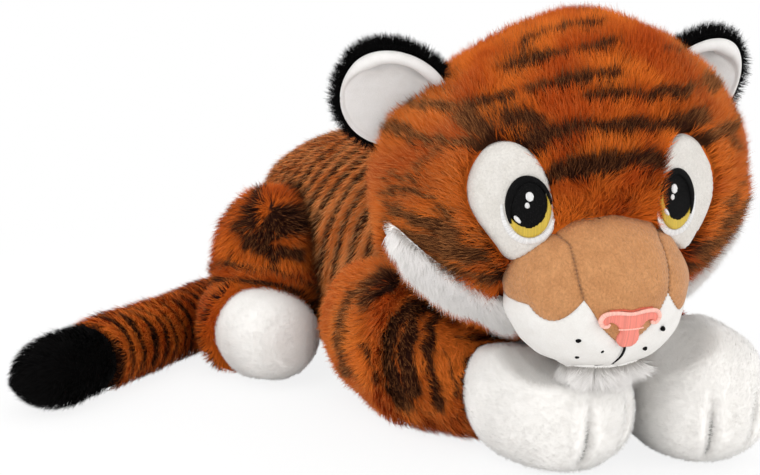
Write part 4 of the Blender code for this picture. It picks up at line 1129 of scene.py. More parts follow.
def grow_pile(name, cover, matrix, body, cover_material, comb, pattern, per_square_mm=1.45,
              length=0.011, width=0.00036, lean=(0.55, 1.15), spread=0.30, tuft=0.42, clump=0.0030,
              points=3, hidden=None, marks={}, clear=None, soft=0.80, sway=0.35, outer=None, seed=1,
              most=64000, shade=True):
    """Covers a form with strands, in as many meshes as keep each one light. White fur lets light
    through, so its strands can be told to throw no shadow."""
    random = np.random.default_rng(seed)
    roots, normals = scattered(cover, per_square_mm * THINNER, random, hidden)
    order = np.argsort(roots[:, 0] + 0.3 * roots[:, 1])
    roots, normals = roots[order], normals[order]
    rows, edges, facing = strand_rows(roots, normals, comb(roots, normals), random, length,
                                      width / math.sqrt(THINNER), lean, spread, tuft, clump, points, sway, outer)
    if outer is not None:
        normals = np.tile(unit(np.array(outer, float)), (len(roots), 1))
    if clear is not None:
        kept = ~clear(rows[:, -1])
        roots, normals, rows, edges, facing = (a[kept] for a in (roots, normals, rows, edges, facing))
    places = pattern(roots)
    found = {mark: measure(rows[:, points // 2]) for mark, measure in marks.items()}
    parts = max(1, math.ceil(len(roots) / most))
    for i, members in enumerate(np.array_split(np.arange(len(roots)), parts)):
        obj = pile_mesh(f"{name}_{i + 1}" if parts > 1 else name, rows[members], edges[members],
                        facing[members], normals[members], places[members],
                        {mark: row[members] for mark, row in found.items()}, soft, random, matrix,
                        cover_material, body)
        obj.visible_shadow = shade
    STRANDS[name] = len(roots)
    print(name, "strands:", len(roots), "in", parts)


# %% [markdown]
# ## Painted shade between the forms
# Where two forms press on each other, and below the head, the pile's colour is darkened as painted
# shade. These measures say how far a place is from the neighbouring forms, and a crease is 1 where
# they touch and 0 further out.

# %% Gaps to the neighbours
def legs_gap(points):
    """How far places are outside the nearest front leg, by the distance to its middle line."""
    found = []
    for spec in FRONT_SIDES.values():
        shares = np.linspace(0.06, 0.97, 40)
        middle, _ = curve_at(front_leg_line(spec), shares)
        squares = ((points[:, None, :2] - middle[None]) ** 2).sum(2)
        near = squares.argmin(1)
        share = eased(shares[near])
        wide = LEG_HALF_WIDTHS[0] + (LEG_HALF_WIDTHS[1] - LEG_HALF_WIDTHS[0]) * share
        high = LEG_HALF_HEIGHTS[0] + (LEG_HALF_HEIGHTS[1] - LEG_HALF_HEIGHTS[0]) * share
        up = points[:, 2] - high
        reach = np.sqrt(squares.min(1) / wide ** 2 + (up / high) ** 2)
        found.append(np.sqrt(squares.min(1) + up ** 2) * (1 - 1 / np.maximum(reach, 1e-6)))
    return np.minimum(*found)


def paw_gap(points, spec):
    middle = paw_middle(spec)
    x, y = turned_flat(points[:, 0] - middle[0], points[:, 1] - middle[1], -spec["yaw"])
    return round_gap(np.stack((x, y, points[:, 2]), 1), (0, 0, PAW_HALF[2]), PAW_HALF)


def haunch_gap(points):
    return np.minimum(*(round_gap(points, (side * HAUNCH_MIDDLE[0], *HAUNCH_MIDDLE[1:]), HAUNCH_HALF)
                        for side in (-1, 1)))


def foot_gap(points, side):
    """Roughly how far places are outside the lower leg and its foot, measured across it."""
    across, ahead = turned_flat(points[:, 0] - side * FOOT_X, points[:, 1] - FOOT_Y, -side * FOOT_YAW)
    full = (1 - np.clip(ahead / FOOT_HALF[1], -0.999, 0.999) ** 2) ** 0.31
    return (np.hypot(across / FOOT_HALF[0], (points[:, 2] - FOOT_HALF[2]) / FOOT_HALF[2]) - full) * FOOT_HALF[2]


def closeness(gap, reach):
    return 1 - eased((gap + 0.003) / reach)


# Painted shade below the head and beside each haunch.
def torso_painted_shade(points):
    near_head = closeness(head_gap(to_head_frame(points)), 0.016)
    return np.clip(near_head + closeness(haunch_gap(points), 0.017), 0, 1)


# Painted shade where a haunch meets the torso.
def haunch_painted_shade(points):
    return closeness(torso_gap(points), 0.020)


def cheek_frost(points):
    """The cheeks' tips are paler than the brow's."""
    return eased((np.abs(points[:, 0]) - 0.050) / 0.030)


def leg_painted_shade(points):
    """Painted shade, only right below the head and the muzzle."""
    return closeness(np.minimum(head_gap(to_head_frame(points)), muzzle_gap(to_head_frame(points))), 0.018)


def leg_frost(points):
    """The rear edge and the lower edge of a front leg are paler."""
    rear = 0.8 * eased((points[:, 1] + 0.106) / 0.010)
    return np.clip(rear + 0.7 * eased((0.034 - points[:, 2]) / 0.014), 0, 1)


# %% [markdown]
# ## The covers
# Each cover is the finely divided form a few millimetres inside its solid, and stands for that
# solid.

# %% Covers of the forms
def cover_piece(name, places, faces, matrix, body, cover_material, slot, pattern, replaces, marks={}):
    """A stuffed cover that stands for its solids. Gives back its surface in the drawing's frame."""
    faces = outward(places - places.mean(0), faces)
    obj = new_object(name, places, faces, matrix, cover_material, slot)
    point_attribute(obj, "pattern", pattern(places))
    # A cover is coloured as a strand a quarter of the way from its root, so it takes part of the pile's painted root
    # shade.
    point_attribute(obj, "along", np.full(len(places), 0.25))
    point_attribute(obj, "strand", np.full(len(places), 0.5))
    point_attribute(obj, "seam", np.full(len(places), 9.0))
    for mark, measure in marks.items():
        point_attribute(obj, mark, measure(places))
    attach(obj, body)
    if replaces:
        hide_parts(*replaces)
    return obj, surface(places, faces)


def round_cover(form, rings, sides, start=0.0, end=math.pi):
    return closed_places(form, rings, sides, start, end), grid_faces(rings, sides)


inset = -LONG_PILE_INSET
places, faces = round_cover(lambda u, v: torso_slumped(torso_at(u, v, inset)), 90, 120)
places = settled(places)
TORSO, torso_cover = cover_piece("torso_cover", places, faces, ON_BODY, "torso", PILE_TORSO, "long_pile",
                                 torso_pattern, ["torso"], {"crease": torso_painted_shade})

places, faces = round_cover(lambda u, v: head_slumped(head_at(u, v, -0.0020)), 100, 140)
HEAD, head_cover = cover_piece("head_cover", places, faces, ON_HEAD, "head", PILE_HEAD, "long_pile",
                               head_pattern, ["head"], {"frost": cheek_frost, "stroke": head_strokes})
print("torso", len(torso_cover["places"]), "head", len(head_cover["places"]))

LEG_COVERS, SHIN_COVERS, HAUNCH_COVERS = {}, {}, {}
for word, spec in FRONT_SIDES.items():
    line = front_leg_line(spec)
    places, faces = round_cover(
        lambda u, v: limb_at(u, v, line, LEG_HALF_WIDTHS, LEG_HALF_HEIGHTS, -0.0005), 80, 72)
    places = settled(pressed(leg_slumped(places, spec), spec))
    _, LEG_COVERS[word] = cover_piece(f"front_leg_{word}_cover", places, faces, ON_BODY, f"arm_{word}",
                                      PILE_LEG, "long_pile", leg_pattern(spec), [f"front_leg_{word}"],
                                      {"crease": leg_painted_shade, "frost": leg_frost, "stroke": leg_strokes(spec)})
    side = spec["side"]
    places, faces = round_cover(lambda u, v: haunch_at(u, v, side, -0.0060), 60, 72)
    places = settled(places)
    _, HAUNCH_COVERS[word] = cover_piece(f"haunch_{word}_cover", places, faces, ON_BODY, f"rear_leg_{word}",
                                         PILE_HAUNCH, "long_pile", haunch_pattern(side), [f"haunch_{word}"],
                                         {"crease": haunch_painted_shade, "stroke": haunch_strokes(side)})

places, faces = round_cover(lambda u, v: tail_at((1 - np.cos(u)) / 2, v, -0.0015), 140, 48, 0.0,
                            math.acos(1 - 2 * TAIL_TIP_SHARE))
places = settled(places)
TAIL, tail_cover = cover_piece("tail_cover", places, faces, ON_BODY, "tail", PILE_TAIL, "long_pile",
                               tail_pattern, ["tail"])
places, faces = round_cover(lambda u, v: tail_at((1 - np.cos(u)) / 2, v, inset), 50, 48,
                            math.acos(1 - 2 * (TAIL_TIP_SHARE + 0.004)), math.pi)
places = settled(places)
TIP, tip_cover = cover_piece("tail_tip_cover", places, faces, ON_BODY, "tail", BLACK_PILE, "black_plush",
                             tail_pattern, ["tail_tip"])

# %% [markdown]
# ## The paws and feet, blown up as cloth
# Short white plush hides nothing, so its folds have to be real. Each paw is remeshed, inflated as
# cloth for a few frames, with each place's move held to a few millimetres, and the result is applied.
# The toe seams are pulled in afterwards, because the remesh would fill them.

# %% Inflating a closed form
def inflated(places, faces, voxel, cap, pressure=3.0, frames=16):
    """Places and triangles of a closed form after it is filled as cloth, in its drawing's frame."""
    mesh = bpy.data.meshes.new("form to fill")
    mesh.from_pydata(places.tolist(), [], [list(map(int, f)) for f in outward(places - places.mean(0), faces)])
    obj = bpy.data.objects.new("form to fill", mesh)
    bpy.context.scene.collection.objects.link(obj)
    bpy.context.view_layer.objects.active = obj
    remesh = obj.modifiers.new("Even mesh", "REMESH")
    remesh.mode, remesh.voxel_size = "VOXEL", voxel
    graph = bpy.context.evaluated_depsgraph_get()
    even = bpy.data.meshes.new_from_object(obj.evaluated_get(graph))
    obj.modifiers.clear()
    obj.data = even
    before = np.array([v.co for v in even.vertices])
    cloth = obj.modifiers.new("Filling", "CLOTH")
    cloth.settings.use_pressure = True
    cloth.settings.uniform_pressure_force = pressure
    cloth.settings.effector_weights.gravity = 0
    cloth.settings.tension_stiffness = 12
    cloth.settings.bending_stiffness = 0.3
    cloth.settings.quality = 5
    cloth.collision_settings.use_collision = False
    cloth.point_cache.frame_start, cloth.point_cache.frame_end = 1, frames
    for number in range(1, frames + 1):
        bpy.context.scene.frame_set(number)
    graph = bpy.context.evaluated_depsgraph_get()
    filled = bpy.data.meshes.new_from_object(obj.evaluated_get(graph))
    obj.modifiers.clear()
    after = np.array([v.co for v in filled.vertices])
    move = after - before
    far = np.linalg.norm(move, axis=1, keepdims=True)
    before = before + move * np.minimum(1, cap / np.maximum(far, 1e-9))
    bpy.context.scene.frame_set(1)
    print("filled, moved at most", round(float(far.max()) * 1000, 1), "mm")
    smooth = obj.data
    smooth.vertices.foreach_set("co", before.astype(np.float32).ravel())
    obj.modifiers.new("Finer", "SUBSURF").levels = 1
    graph = bpy.context.evaluated_depsgraph_get()
    finer = bpy.data.meshes.new_from_object(obj.evaluated_get(graph))
    finer_places = np.array([v.co for v in finer.vertices])
    finer_faces = [tuple(p.vertices) for p in finer.polygons]
    bpy.data.objects.remove(obj)
    return finer_places, finer_faces


def plush_pattern(points):
    return points


TOE_ANGLE, TOE_DEPTH, TOE_WIDTH = math.radians(16), 0.0055, 0.0034
PLUSH_GROW = 0.0008


def toe_offset(points, spec):
    """How far places are from the two toe seams, and how far they are in front of the paw's middle."""
    middle = paw_middle(spec)
    x, y = turned_flat(points[:, 0] - middle[0], points[:, 1] - middle[1], -spec["yaw"])
    return np.minimum(*(np.abs(x - groove * math.tan(TOE_ANGLE) * (-y)) for groove in (-1, 1))), x, y


def toe_line(spec):
    """The stitched line at the foot of each toe seam."""
    def measure(points):
        gap, _, y = toe_offset(points, spec)
        low = eased((points[:, 2] - 0.008) / 0.006) * eased((0.040 - points[:, 2]) / 0.008)
        stitches = 0.75 + 0.25 * np.sin(points[:, 2] / 0.0028 * 2 * math.pi)
        return np.exp(-(gap / 0.0009) ** 2) * low * eased((-y - 0.025) / 0.010) * stitches
    return measure


def toe_creases(places, spec):
    """Pulls two stitched grooves into the front of a paw, between its three toes."""
    gap, x, y = toe_offset(places, spec)
    z = places[:, 2]
    reach = eased((-y - 0.010) / 0.022)
    high = eased((z - 0.004) / 0.010) * eased((0.060 - z) / 0.026)
    depth = TOE_DEPTH * np.exp(-(gap / TOE_WIDTH) ** 2) * reach * high
    inward_x, inward_y = turned_flat(-x, -y, spec["yaw"])
    inward = unit(np.stack((inward_x, inward_y, 0.4 * (0.03 - z)), 1))
    return places + inward * depth[:, None]


PAW_COVERS, FOOT_COVERS = {}, {}
for word, spec in FRONT_SIDES.items():
    places, faces = round_cover(lambda u, v: paw_at(u, v, spec, PLUSH_GROW), 40, 64)
    places, faces = inflated(places, faces, 0.0045, 0.0035)
    places = settled(toe_creases(pressed(places, spec, 0.010), spec))
    _, PAW_COVERS[word] = cover_piece(f"front_paw_{word}_cover", places, faces, ON_BODY, f"arm_{word}",
                                      WHITE_PILE, "white_plush", plush_pattern, [f"front_paw_{word}"],
                                      {"crease": toe_line(spec)})


# %% Lower rear legs and feet
FOOT_SEAM_AHEAD = 0.004
for word, spec in FRONT_SIDES.items():
    side = spec["side"]
    ahead = np.array((*turned_flat(0, -1, side * FOOT_YAW), 0))
    seam = np.array((side * FOOT_X, FOOT_Y, 0)) + ahead * FOOT_SEAM_AHEAD
    places, faces = round_cover(lambda u, v: lower_leg_at(u, v, side, PLUSH_GROW), 60, 64,
                                math.pi * 0.47, math.pi)
    off = (places - seam) @ ahead
    tuck = np.exp(-np.maximum(off, 0) / 0.006)
    middle = seam + ahead * off[:, None] + (0, 0, FOOT_HALF[2])
    places = places + (middle - places) * (0.10 * tuck)[:, None]
    places, faces = inflated(places, faces, 0.0045, 0.0030)
    places = settled(places)
    _, FOOT_COVERS[word] = cover_piece(f"rear_foot_{word}_cover", places, faces, ON_BODY, f"rear_leg_{word}",
                                       WHITE_PILE, "white_plush", plush_pattern, [f"rear_foot_{word}"])
    places, faces = round_cover(lambda u, v: lower_leg_at(
        u, v, side, -0.0010 + 0.0045 * np.exp(-((np.cos(u) * FOOT_HALF[1] - 0.006) / 0.006) ** 2)),
        60, 60, 0.0, math.pi * 0.505)
    places = settled(places)
    _, SHIN_COVERS[word] = cover_piece(f"shin_{word}_cover", places, faces, ON_BODY, f"rear_leg_{word}",
                                       PILE_SHIN, "long_pile", shin_pattern(side), [f"shin_{word}"],
                                       {"stroke": shin_strokes(side)})
print("feet and shins:", sorted(FOOT_COVERS), sorted(SHIN_COVERS))

# %% [markdown]
# ## Combing
# The fabric's pile lies from the nose backwards over the head, from the neck towards the tail on
# the body, and down the legs. On the haunch it turns in a swirl.

# %% Combing directions
def comb_torso(points, normals):
    flank = eased((np.abs(points[:, 0]) - 0.015) / 0.03)
    return stacked((0.45 + 0.2 * flank) * np.sign(points[:, 0]), 0.55 - 0.30 * flank, -0.6 - 0.4 * flank)


def comb_head(points, normals):
    away = points - (0, HEAD_Y - 0.095, HEAD_Z - 0.030)
    away = unit(away)
    away[:, 2] += 0.15 + 0.35 * np.maximum(points[:, 2] - HEAD_Z, 0) / HEAD_ABOVE
    curly = eased((0.036 - np.abs(points[:, 0])) / 0.010) * eased((0.036 - muzzle_gap(points)) / 0.016)
    curls = np.stack([ripple(points, 0.016, seed) for seed in (91, 92, 93)], 1)
    return away + 0.55 * curly[:, None] * curls


def comb_leg(line):
    def comb(points, normals):
        shares = np.linspace(0, 1, 60)
        middle, ahead = curve_at(line, shares)
        near = ((points[:, None, :2] - middle[None]) ** 2).sum(2).argmin(1)
        turned = 1 - 2 * eased((points[:, 1] + 0.128) / 0.030)
        return stacked(ahead[near, 0] * turned, ahead[near, 1] * turned, -0.55)
    return comb


def comb_haunch(side):
    def comb(points, normals):
        away = points - (side * SWIRL[0], SWIRL[1], SWIRL[2])
        swirl = np.cross((side, 0, 0), away)
        free = unit(away) + 0.5 * unit(swirl) + (0, 0, -0.30)
        cuff = unit(points - (side * FOOT_X, FOOT_Y - 0.02, FOOT_HALF[2])) + (0, 0.4, 0)
        near = 1 - eased((foot_gap(points, side)[:, None] - 0.010) / 0.006)
        return free * (1 - near) + cuff * near
    return comb


def comb_tail(points, normals):
    _, ahead = curve_at(TAIL_LINE, tail_share(points))
    return stacked(ahead[:, 0] + 0.25, ahead[:, 1] + 0.55, -0.10)


def comb_shin(side):
    """Away from the foot's seam."""
    ahead = np.array((*turned_flat(0, 1, side * FOOT_YAW), -0.25))
    return lambda points, normals: stacked(ahead[0] + 0 * points[:, 0], ahead[1], ahead[2])


def comb_plush(points, normals):
    """Short white plush lies back towards the leg."""
    return stacked(0.30, 0.90, 0.25 + 0 * points[:, 0])


# %% What the pile doesn't grow on
def near_floor(points):
    return points[:, 2] < 0.004


def torso_hidden(points):
    return (near_floor(points) | (head_gap(to_head_frame(points)) < -0.012) | (legs_gap(points) < -0.012)
            | (haunch_gap(points) < -0.012))


# %% [markdown]
# ## Flat pieces on the face
# The patches, the muzzle's panels and the embroidery are all flat cuts that follow a form. Each
# starts as an outline on the front of the face. A constrained triangulation fills it with evenly
# spread places, and every place is lifted by its distance from the edge, which gives a sewn piece
# its rounded border and a panel its puffed middle.

# %% Outlines
def spline(points, steps=8, closed=True):
    """A smooth line through points, by Catmull and Rom's rule."""
    points = np.asarray(points, float)
    count = len(points)
    rows = []
    for i in range(count if closed else count - 1):
        if closed:
            a, b, c, d = (points[(i + k) % count] for k in (-1, 0, 1, 2))
        else:
            a, b, c, d = (points[min(max(i + k, 0), count - 1)] for k in (-1, 0, 1, 2))
        t = np.arange(steps)[:, None] / steps
        rows.append(0.5 * (2 * b + (c - a) * t + (2 * a - 5 * b + 4 * c - d) * t ** 2
                           + (3 * b - a - 3 * c + d) * t ** 3))
    if not closed:
        rows.append(points[-1:])
    return np.concatenate(rows)


def mirrored(points, side):
    return np.asarray(points, float) * (side, 1)


def millimetres(*points):
    return np.array(points, float) / 1000


def line_distance(points, line, closed=False):
    """How far each flat place is from a line, and how far along the line its nearest place is."""
    a = line if closed else line[:-1]
    b = np.roll(line, -1, axis=0) if closed else line[1:]
    run = b - a
    size = np.maximum((run * run).sum(1), 1e-18)
    t = np.clip(((points[:, None] - a) * run).sum(2) / size, 0, 1)
    gap = np.linalg.norm(points[:, None] - a - run * t[..., None], axis=2)
    near = gap.argmin(1)
    before = np.concatenate(([0], np.cumsum(np.sqrt(size))))
    rows = np.arange(len(points))
    return gap[rows, near], before[near] + t[rows, near] * np.sqrt(size[near])


def inside_outline(points, outline):
    """Which flat places lie inside a closed outline."""
    x, z = points[:, 0][:, None], points[:, 1][:, None]
    a, b = outline, np.roll(outline, -1, axis=0)
    with np.errstate(divide="ignore", invalid="ignore"):
        crossing = (a[:, 0] + (z - a[:, 1]) * (b[:, 0] - a[:, 0]) / (b[:, 1] - a[:, 1]))
    hits = ((a[:, 1] > z) != (b[:, 1] > z)) & (x < crossing)
    return hits.sum(1) % 2 == 1


def filled(outline, spacing):
    """Flat places that fill an outline, the outline's own first, and their triangles."""
    low, high = outline.min(0), outline.max(0)
    rows = []
    for i, z in enumerate(np.arange(low[1], high[1], spacing * 0.866)):
        x = np.arange(low[0] + (i % 2) * spacing / 2, high[0], spacing)
        rows.append(np.stack((x, np.full(len(x), z)), 1))
    inner = np.concatenate(rows)
    inner = inner[inside_outline(inner, outline)]
    inner = inner[line_distance(inner, outline, True)[0] > 0.55 * spacing]
    places = np.concatenate((outline, inner)) * 1000
    count = len(outline)
    flat, _, triangles, came_from, _, _ = delaunay_2d_cdt(
        [Vector(p) for p in places], [], [list(range(count))], 1, 1e-6)
    order = np.full(len(places), -1)
    for new, olds in enumerate(came_from):
        for old in olds:
            order[old] = new
    return np.array([tuple(p) for p in flat]) / 1000, [tuple(t) for t in triangles], order[:count]


def sheet_piece(name, outline, spacing, lift, rise, base, matrix, body, made, slot, replaces=(),
                extra=None):
    """A cut piece on a form. lift(flat, height) places it, and rise(flat, edge distance) is its height."""
    flat, triangles, rim = filled(outline, spacing)
    edge = line_distance(flat, outline, True)[0]
    heights = rise(flat, edge)
    top, bottom = lift(flat, heights), lift(flat, np.full(len(flat), base))
    count = len(flat)
    faces = [tuple(t) for t in triangles] + [tuple(i + count for i in reversed(t)) for t in triangles]
    signed = ((outline[:, 0] * np.roll(outline[:, 1], -1) - np.roll(outline[:, 0], -1) * outline[:, 1]).sum())
    first = np.array([flat[i] for i in triangles[0]])
    winding = np.cross(first[1] - first[0], first[2] - first[0])
    ring = list(rim) if signed * winding > 0 else list(rim)[::-1]
    for a, b in zip(ring, ring[1:] + ring[:1]):
        faces.append((a, a + count, b + count, b))
    places = np.concatenate((top, bottom))
    faces = outward(places - places.mean(0), faces)
    obj = new_object(name, places, faces, matrix, made, slot)
    point_attribute(obj, "pattern", places)
    point_attribute(obj, "along", np.full(len(places), 0.5))
    point_attribute(obj, "strand", np.full(len(places), 0.5))
    seam, stitch = extra(flat) if extra else (np.full(count, 9.0), np.zeros(count))
    point_attribute(obj, "seam", np.concatenate((seam, seam)))
    point_attribute(obj, "stitch", np.concatenate((stitch, stitch)))
    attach(obj, body)
    if replaces:
        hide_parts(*replaces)
    return obj, (places[:count], [t if winding_out(places, t) else t[::-1] for t in triangles])


def winding_out(places, triangle):
    """True if a triangle on the face's front is seen from in front."""
    a, b, c = (places[i] for i in triangle)
    return np.cross(b - a, c - a)[1] < 0


def winding_down(places, triangle):
    """True if a triangle on an underside is seen from below."""
    a, b, c = (places[i] for i in triangle)
    return np.cross(b - a, c - a)[2] < 0


def rounded(height, border):
    """A piece of one height whose border is round."""
    def rise(flat, edge):
        share = np.clip(edge / border, 0, 1)
        return height[0] + (height[1] - height[0]) * np.sqrt(1 - (1 - share) ** 2)
    return rise


def band_piece(name, path, half_width, height, base, lift, matrix, body, made, slot, replaces=(), closed=False,
               pad=None):
    """A raised line of satin stitches along a flat path, whose threads lie across it."""
    path = np.asarray(path)
    along = np.gradient(path, axis=0)
    across = unit(np.stack((-along[:, 1], along[:, 0]), 1))
    half = np.broadcast_to(np.asarray(half_width, float), (len(path),))
    turns = np.linspace(-math.pi / 2, math.pi / 2, 9)
    flat = path[:, None] + across[:, None] * (half[:, None] * np.sin(turns))[..., None]
    heights = base + (height * np.minimum(half / half.max(), 1))[:, None] * np.cos(turns) ** 0.7
    top = lift(flat.reshape(-1, 2), heights.ravel())
    under = lift(flat.reshape(-1, 2), np.full(heights.size, base - 0.0004))
    places = np.concatenate((top, under))
    rows, cols, count = len(path), len(turns), len(path) * len(turns)
    i, j = np.meshgrid(np.arange(rows - 1), np.arange(cols - 1), indexing="ij")
    a = (i * cols + j).ravel()
    quads = np.stack((a, a + 1, a + 1 + cols, a + cols), 1)
    faces = [tuple(q) for q in quads] + [tuple(q[::-1] + count) for q in quads]
    rim = [k * cols for k in range(rows)]
    rim += [(rows - 1) * cols + k for k in range(1, cols)]
    rim += [k * cols + cols - 1 for k in reversed(range(rows - 1))]
    rim += [k for k in reversed(range(1, cols - 1))]
    faces += [(p, q, q + count, p + count) for p, q in zip(rim, rim[1:] + rim[:1])]
    faces = outward(places - places.mean(0), faces)
    obj = new_object(name, places, faces, matrix, made, slot)
    run = np.concatenate(([0], np.cumsum(np.linalg.norm(np.diff(path, axis=0), axis=1))))
    own = stacked(run[:, None], 0.0, half[:, None] * np.sin(turns)).reshape(-1, 3)
    point_attribute(obj, "pattern", np.concatenate((own, own)))
    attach(obj, body)
    if replaces:
        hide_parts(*replaces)
    return obj


# %% [markdown]
# ## The eye patches
# White velboa, cut like an egg with a blunt point at its lower, outer end, and sewn flat on the
# head. Two soft dimples near the upper edge come from the stuffing below.

# %% Eye patches
PATCH_OUTLINE = spline(millimetres(
    (56.5, 204.0), (50.0, 204.3), (44.0, 201.5), (39.5, 196.5), (36.0, 190.0), (33.6, 181.5), (32.3, 172.0),
    (31.6, 162.0), (32.2, 155.5), (36.8, 149.0), (43.5, 142.8), (52.0, 137.2), (57.0, 139.5), (61.5, 146.0),
    (66.5, 152.8), (71.2, 160.0), (74.6, 168.5), (75.2, 178.0), (73.2, 187.0), (69.0, 195.0), (63.5, 200.8)), 5)
PATCH_TOP = 0.0026


def on_head(flat, heights):
    return head_front(flat[:, 0], flat[:, 1], heights)


def patch_rise(flat, edge):
    share = np.clip(edge / 0.0026, 0, 1)
    height = -0.0012 + (PATCH_TOP + 0.0012) * np.sqrt(1 - (1 - share) ** 2)
    dimple = 0.0011 * ripple(np.pad(np.abs(flat) * (1.0, 0.55), ((0, 0), (0, 1))), 0.015, 31)
    return height + dimple * eased(edge / 0.012) * eased((flat[:, 1] - 0.172) / 0.02)


for word, side in (("right", -1), ("left", 1)):
    sheet_piece(f"eye_patch_{word}_velboa", mirrored(PATCH_OUTLINE, side), 0.0016, on_head, patch_rise, -0.005,
                ON_HEAD, "head", PATCH_VELBOA_PAINTED_DARKER, "white_velboa", [f"eye_patch_{word}"])
print("eye patches of", len(PATCH_OUTLINE), "outline places")

# %% [markdown]
# ## The eyes
# Machine embroidery in satin stitch: a black pupil with a heavy black lid round its outer side, a
# gold crescent that shows below and on the inner side, three white highlights, and a white border
# below the gold. Each colour is its own raised piece, because the thread lies on the velboa.

# %% Eyes
EYE_Z, EYE_HALF = 0.1697, (0.0120, 0.0174)
EYES = {"right": (-1, -0.0464, ((0.0000, 0.0066), (-0.0014, 0.0016), (-0.0066, -0.0066))),
        "left": (1, 0.0432, ((-0.0022, 0.0070), (-0.0036, 0.0024), (-0.0078, -0.0058)))}


def ellipse(middle, half, count=96, tilt=0.0):
    angles = 2 * math.pi * np.arange(count) / count
    x, z = turned_flat(half[0] * np.cos(angles), half[1] * np.sin(angles), tilt)
    return np.stack((middle[0] + x, middle[1] + z), 1)


def run_of(mask):
    """The indices of the one unbroken run of True round a closed line."""
    count = len(mask)
    start = next(i for i in range(count) if mask[i] and not mask[i - 1])
    rows = [start]
    while mask[(rows[-1] + 1) % count]:
        rows.append((rows[-1] + 1) % count)
    return rows


def less(outer, inner):
    """What is left of an outline when a second one, that it overlaps, is cut away."""
    kept = outer[run_of(~inside_outline(outer, inner))]
    back = inner[run_of(inside_outline(inner, outer))][::-1]
    return np.concatenate((kept, back))


for word, (side, eye_x, lights) in EYES.items():
    whole = ellipse((eye_x, EYE_Z), EYE_HALF)
    thread = PATCH_TOP + 0.0002
    sheet_piece(f"iris_{word}_thread", less(whole, ellipse((eye_x + side * 0.0018, EYE_Z + 0.0046), (
        0.0114, 0.0146))), 0.0008, on_head, rounded((thread, thread + 0.0012), 0.0009), thread - 0.001, ON_HEAD,
        "head", GOLD_THREAD, "gold_thread", [f"iris_{word}"])
    sheet_piece(f"pupil_{word}_thread", ellipse((eye_x + side * 0.0008, EYE_Z + 0.0022), (0.0107, 0.0145)),
                0.0010, on_head, rounded((thread, thread + 0.0014), 0.0012), thread - 0.001, ON_HEAD, "head",
                BLACK_THREAD, "black_thread", [f"pupil_{word}"])
    angles = np.radians(np.linspace(-32, 172, 90))
    swell = np.interp(np.degrees(angles), (-32, 10, 70, 130, 172), (0.0006, 0.0019, 0.0021, 0.0014, 0.0006))
    lid = np.stack((eye_x + side * (EYE_HALF[0] - swell * 0.5) * np.cos(angles),
                    EYE_Z + (EYE_HALF[1] - swell * 0.5) * np.sin(angles)), 1)
    band_piece(f"eyelid_{word}_thread", lid, swell, 0.0013, thread + 0.0012, on_head, ON_HEAD, "head",
               BLACK_THREAD, "black_thread")
    for number, ((x, z), half, tilt) in enumerate(zip(
            lights, ((0.0023, 0.0029), (0.0015, 0.0019), (0.0028, 0.0013)), (0.0, 0.0, math.radians(-52))), 1):
        sheet_piece(f"highlight_{word}_{number}", ellipse((eye_x + x, EYE_Z + z), half, 32, tilt), 0.0006, on_head,
                    rounded((thread + 0.0010, thread + 0.0024), 0.0008), thread, ON_HEAD, "head", WHITE_THREAD,
                    "white_velboa")
    angles = np.radians(np.linspace(-162, 4, 70))
    swell = np.interp(np.degrees(angles), (-162, -120, -60, 4), (0.0006, 0.0020, 0.0020, 0.0006))
    border = np.stack((eye_x + side * (EYE_HALF[0] + 0.0021) * np.cos(angles),
                       EYE_Z + (EYE_HALF[1] + 0.0021) * np.sin(angles)), 1)
    band_piece(f"eye_border_{word}", border, swell, 0.0007, PATCH_TOP, on_head, ON_HEAD, "head",
               WHITE_THREAD, "white_velboa")
print("eyes embroidered")

# %% [markdown]
# ## The muzzle
# Five panels sewn over one stuffed form: a tan shield from the forehead to the nose, a tan lobe on
# each side, and two white panels that meet below the nose. Their flat frame is the form rolled out
# from the point that looks straight ahead, so that the lines run on round its sides. The panels
# share their seam lines, and each is puffed by its distance from them, which pulls the seams in.
# The stuffing has settled a little to one side, so the whole muzzle is turned by four degrees.

# %% The muzzle rolled out flat
MUZZLE_TWIST = math.radians(4)
MUZZLE_SCALE = 0.051
MUZZLE_EDGE = 2.25


def roll_out(points):
    """Flat places of (x, z) on the muzzle's front."""
    p, q = points[:, 0] / MUZZLE_HALF[0], (points[:, 1] - MUZZLE_Z) / MUZZLE_HALF[2]
    reach = np.hypot(p, q)
    angle = np.arcsin(np.clip(reach, 0, 0.9999))
    stretch = MUZZLE_SCALE * angle / np.maximum(reach, 1e-9)
    return np.stack((p * stretch, q * stretch), 1)


def on_muzzle(flat, heights):
    """Rolled-out places back on the muzzle, at a height above it."""
    angle = np.linalg.norm(flat, axis=1) / MUZZLE_SCALE
    p, q = (flat / np.maximum(np.linalg.norm(flat, axis=1, keepdims=True), 1e-9)).T * np.sin(angle)
    x = (MUZZLE_HALF[0] + heights) * p
    y = -(MUZZLE_HALF[1] + heights) * np.cos(angle)
    x, y = turned_flat(x, y, MUZZLE_TWIST)
    return stacked(x, MUZZLE_Y + y, MUZZLE_Z + (MUZZLE_HALF[2] + heights) * q)


def out_to_edge(line):
    """Runs the last place of a flat line straight out to the edge of the panels."""
    last = line[-1]
    far = last / np.linalg.norm(last) * MUZZLE_SCALE * MUZZLE_EDGE
    return np.concatenate((line, last + (far - last) * np.linspace(0.08, 1, 14)[:, None]))


def arc(start, end):
    """The edge of the panels between two of its places, the short way round."""
    first, last = (math.atan2(p[1], p[0]) for p in (start, end))
    last = first + (last - first + math.pi) % (2 * math.pi) - math.pi
    angles = np.linspace(first, last, max(int(abs(last - first) / 0.06), 3))[1:-1]
    return np.stack((np.cos(angles), np.sin(angles)), 1) * MUZZLE_SCALE * MUZZLE_EDGE


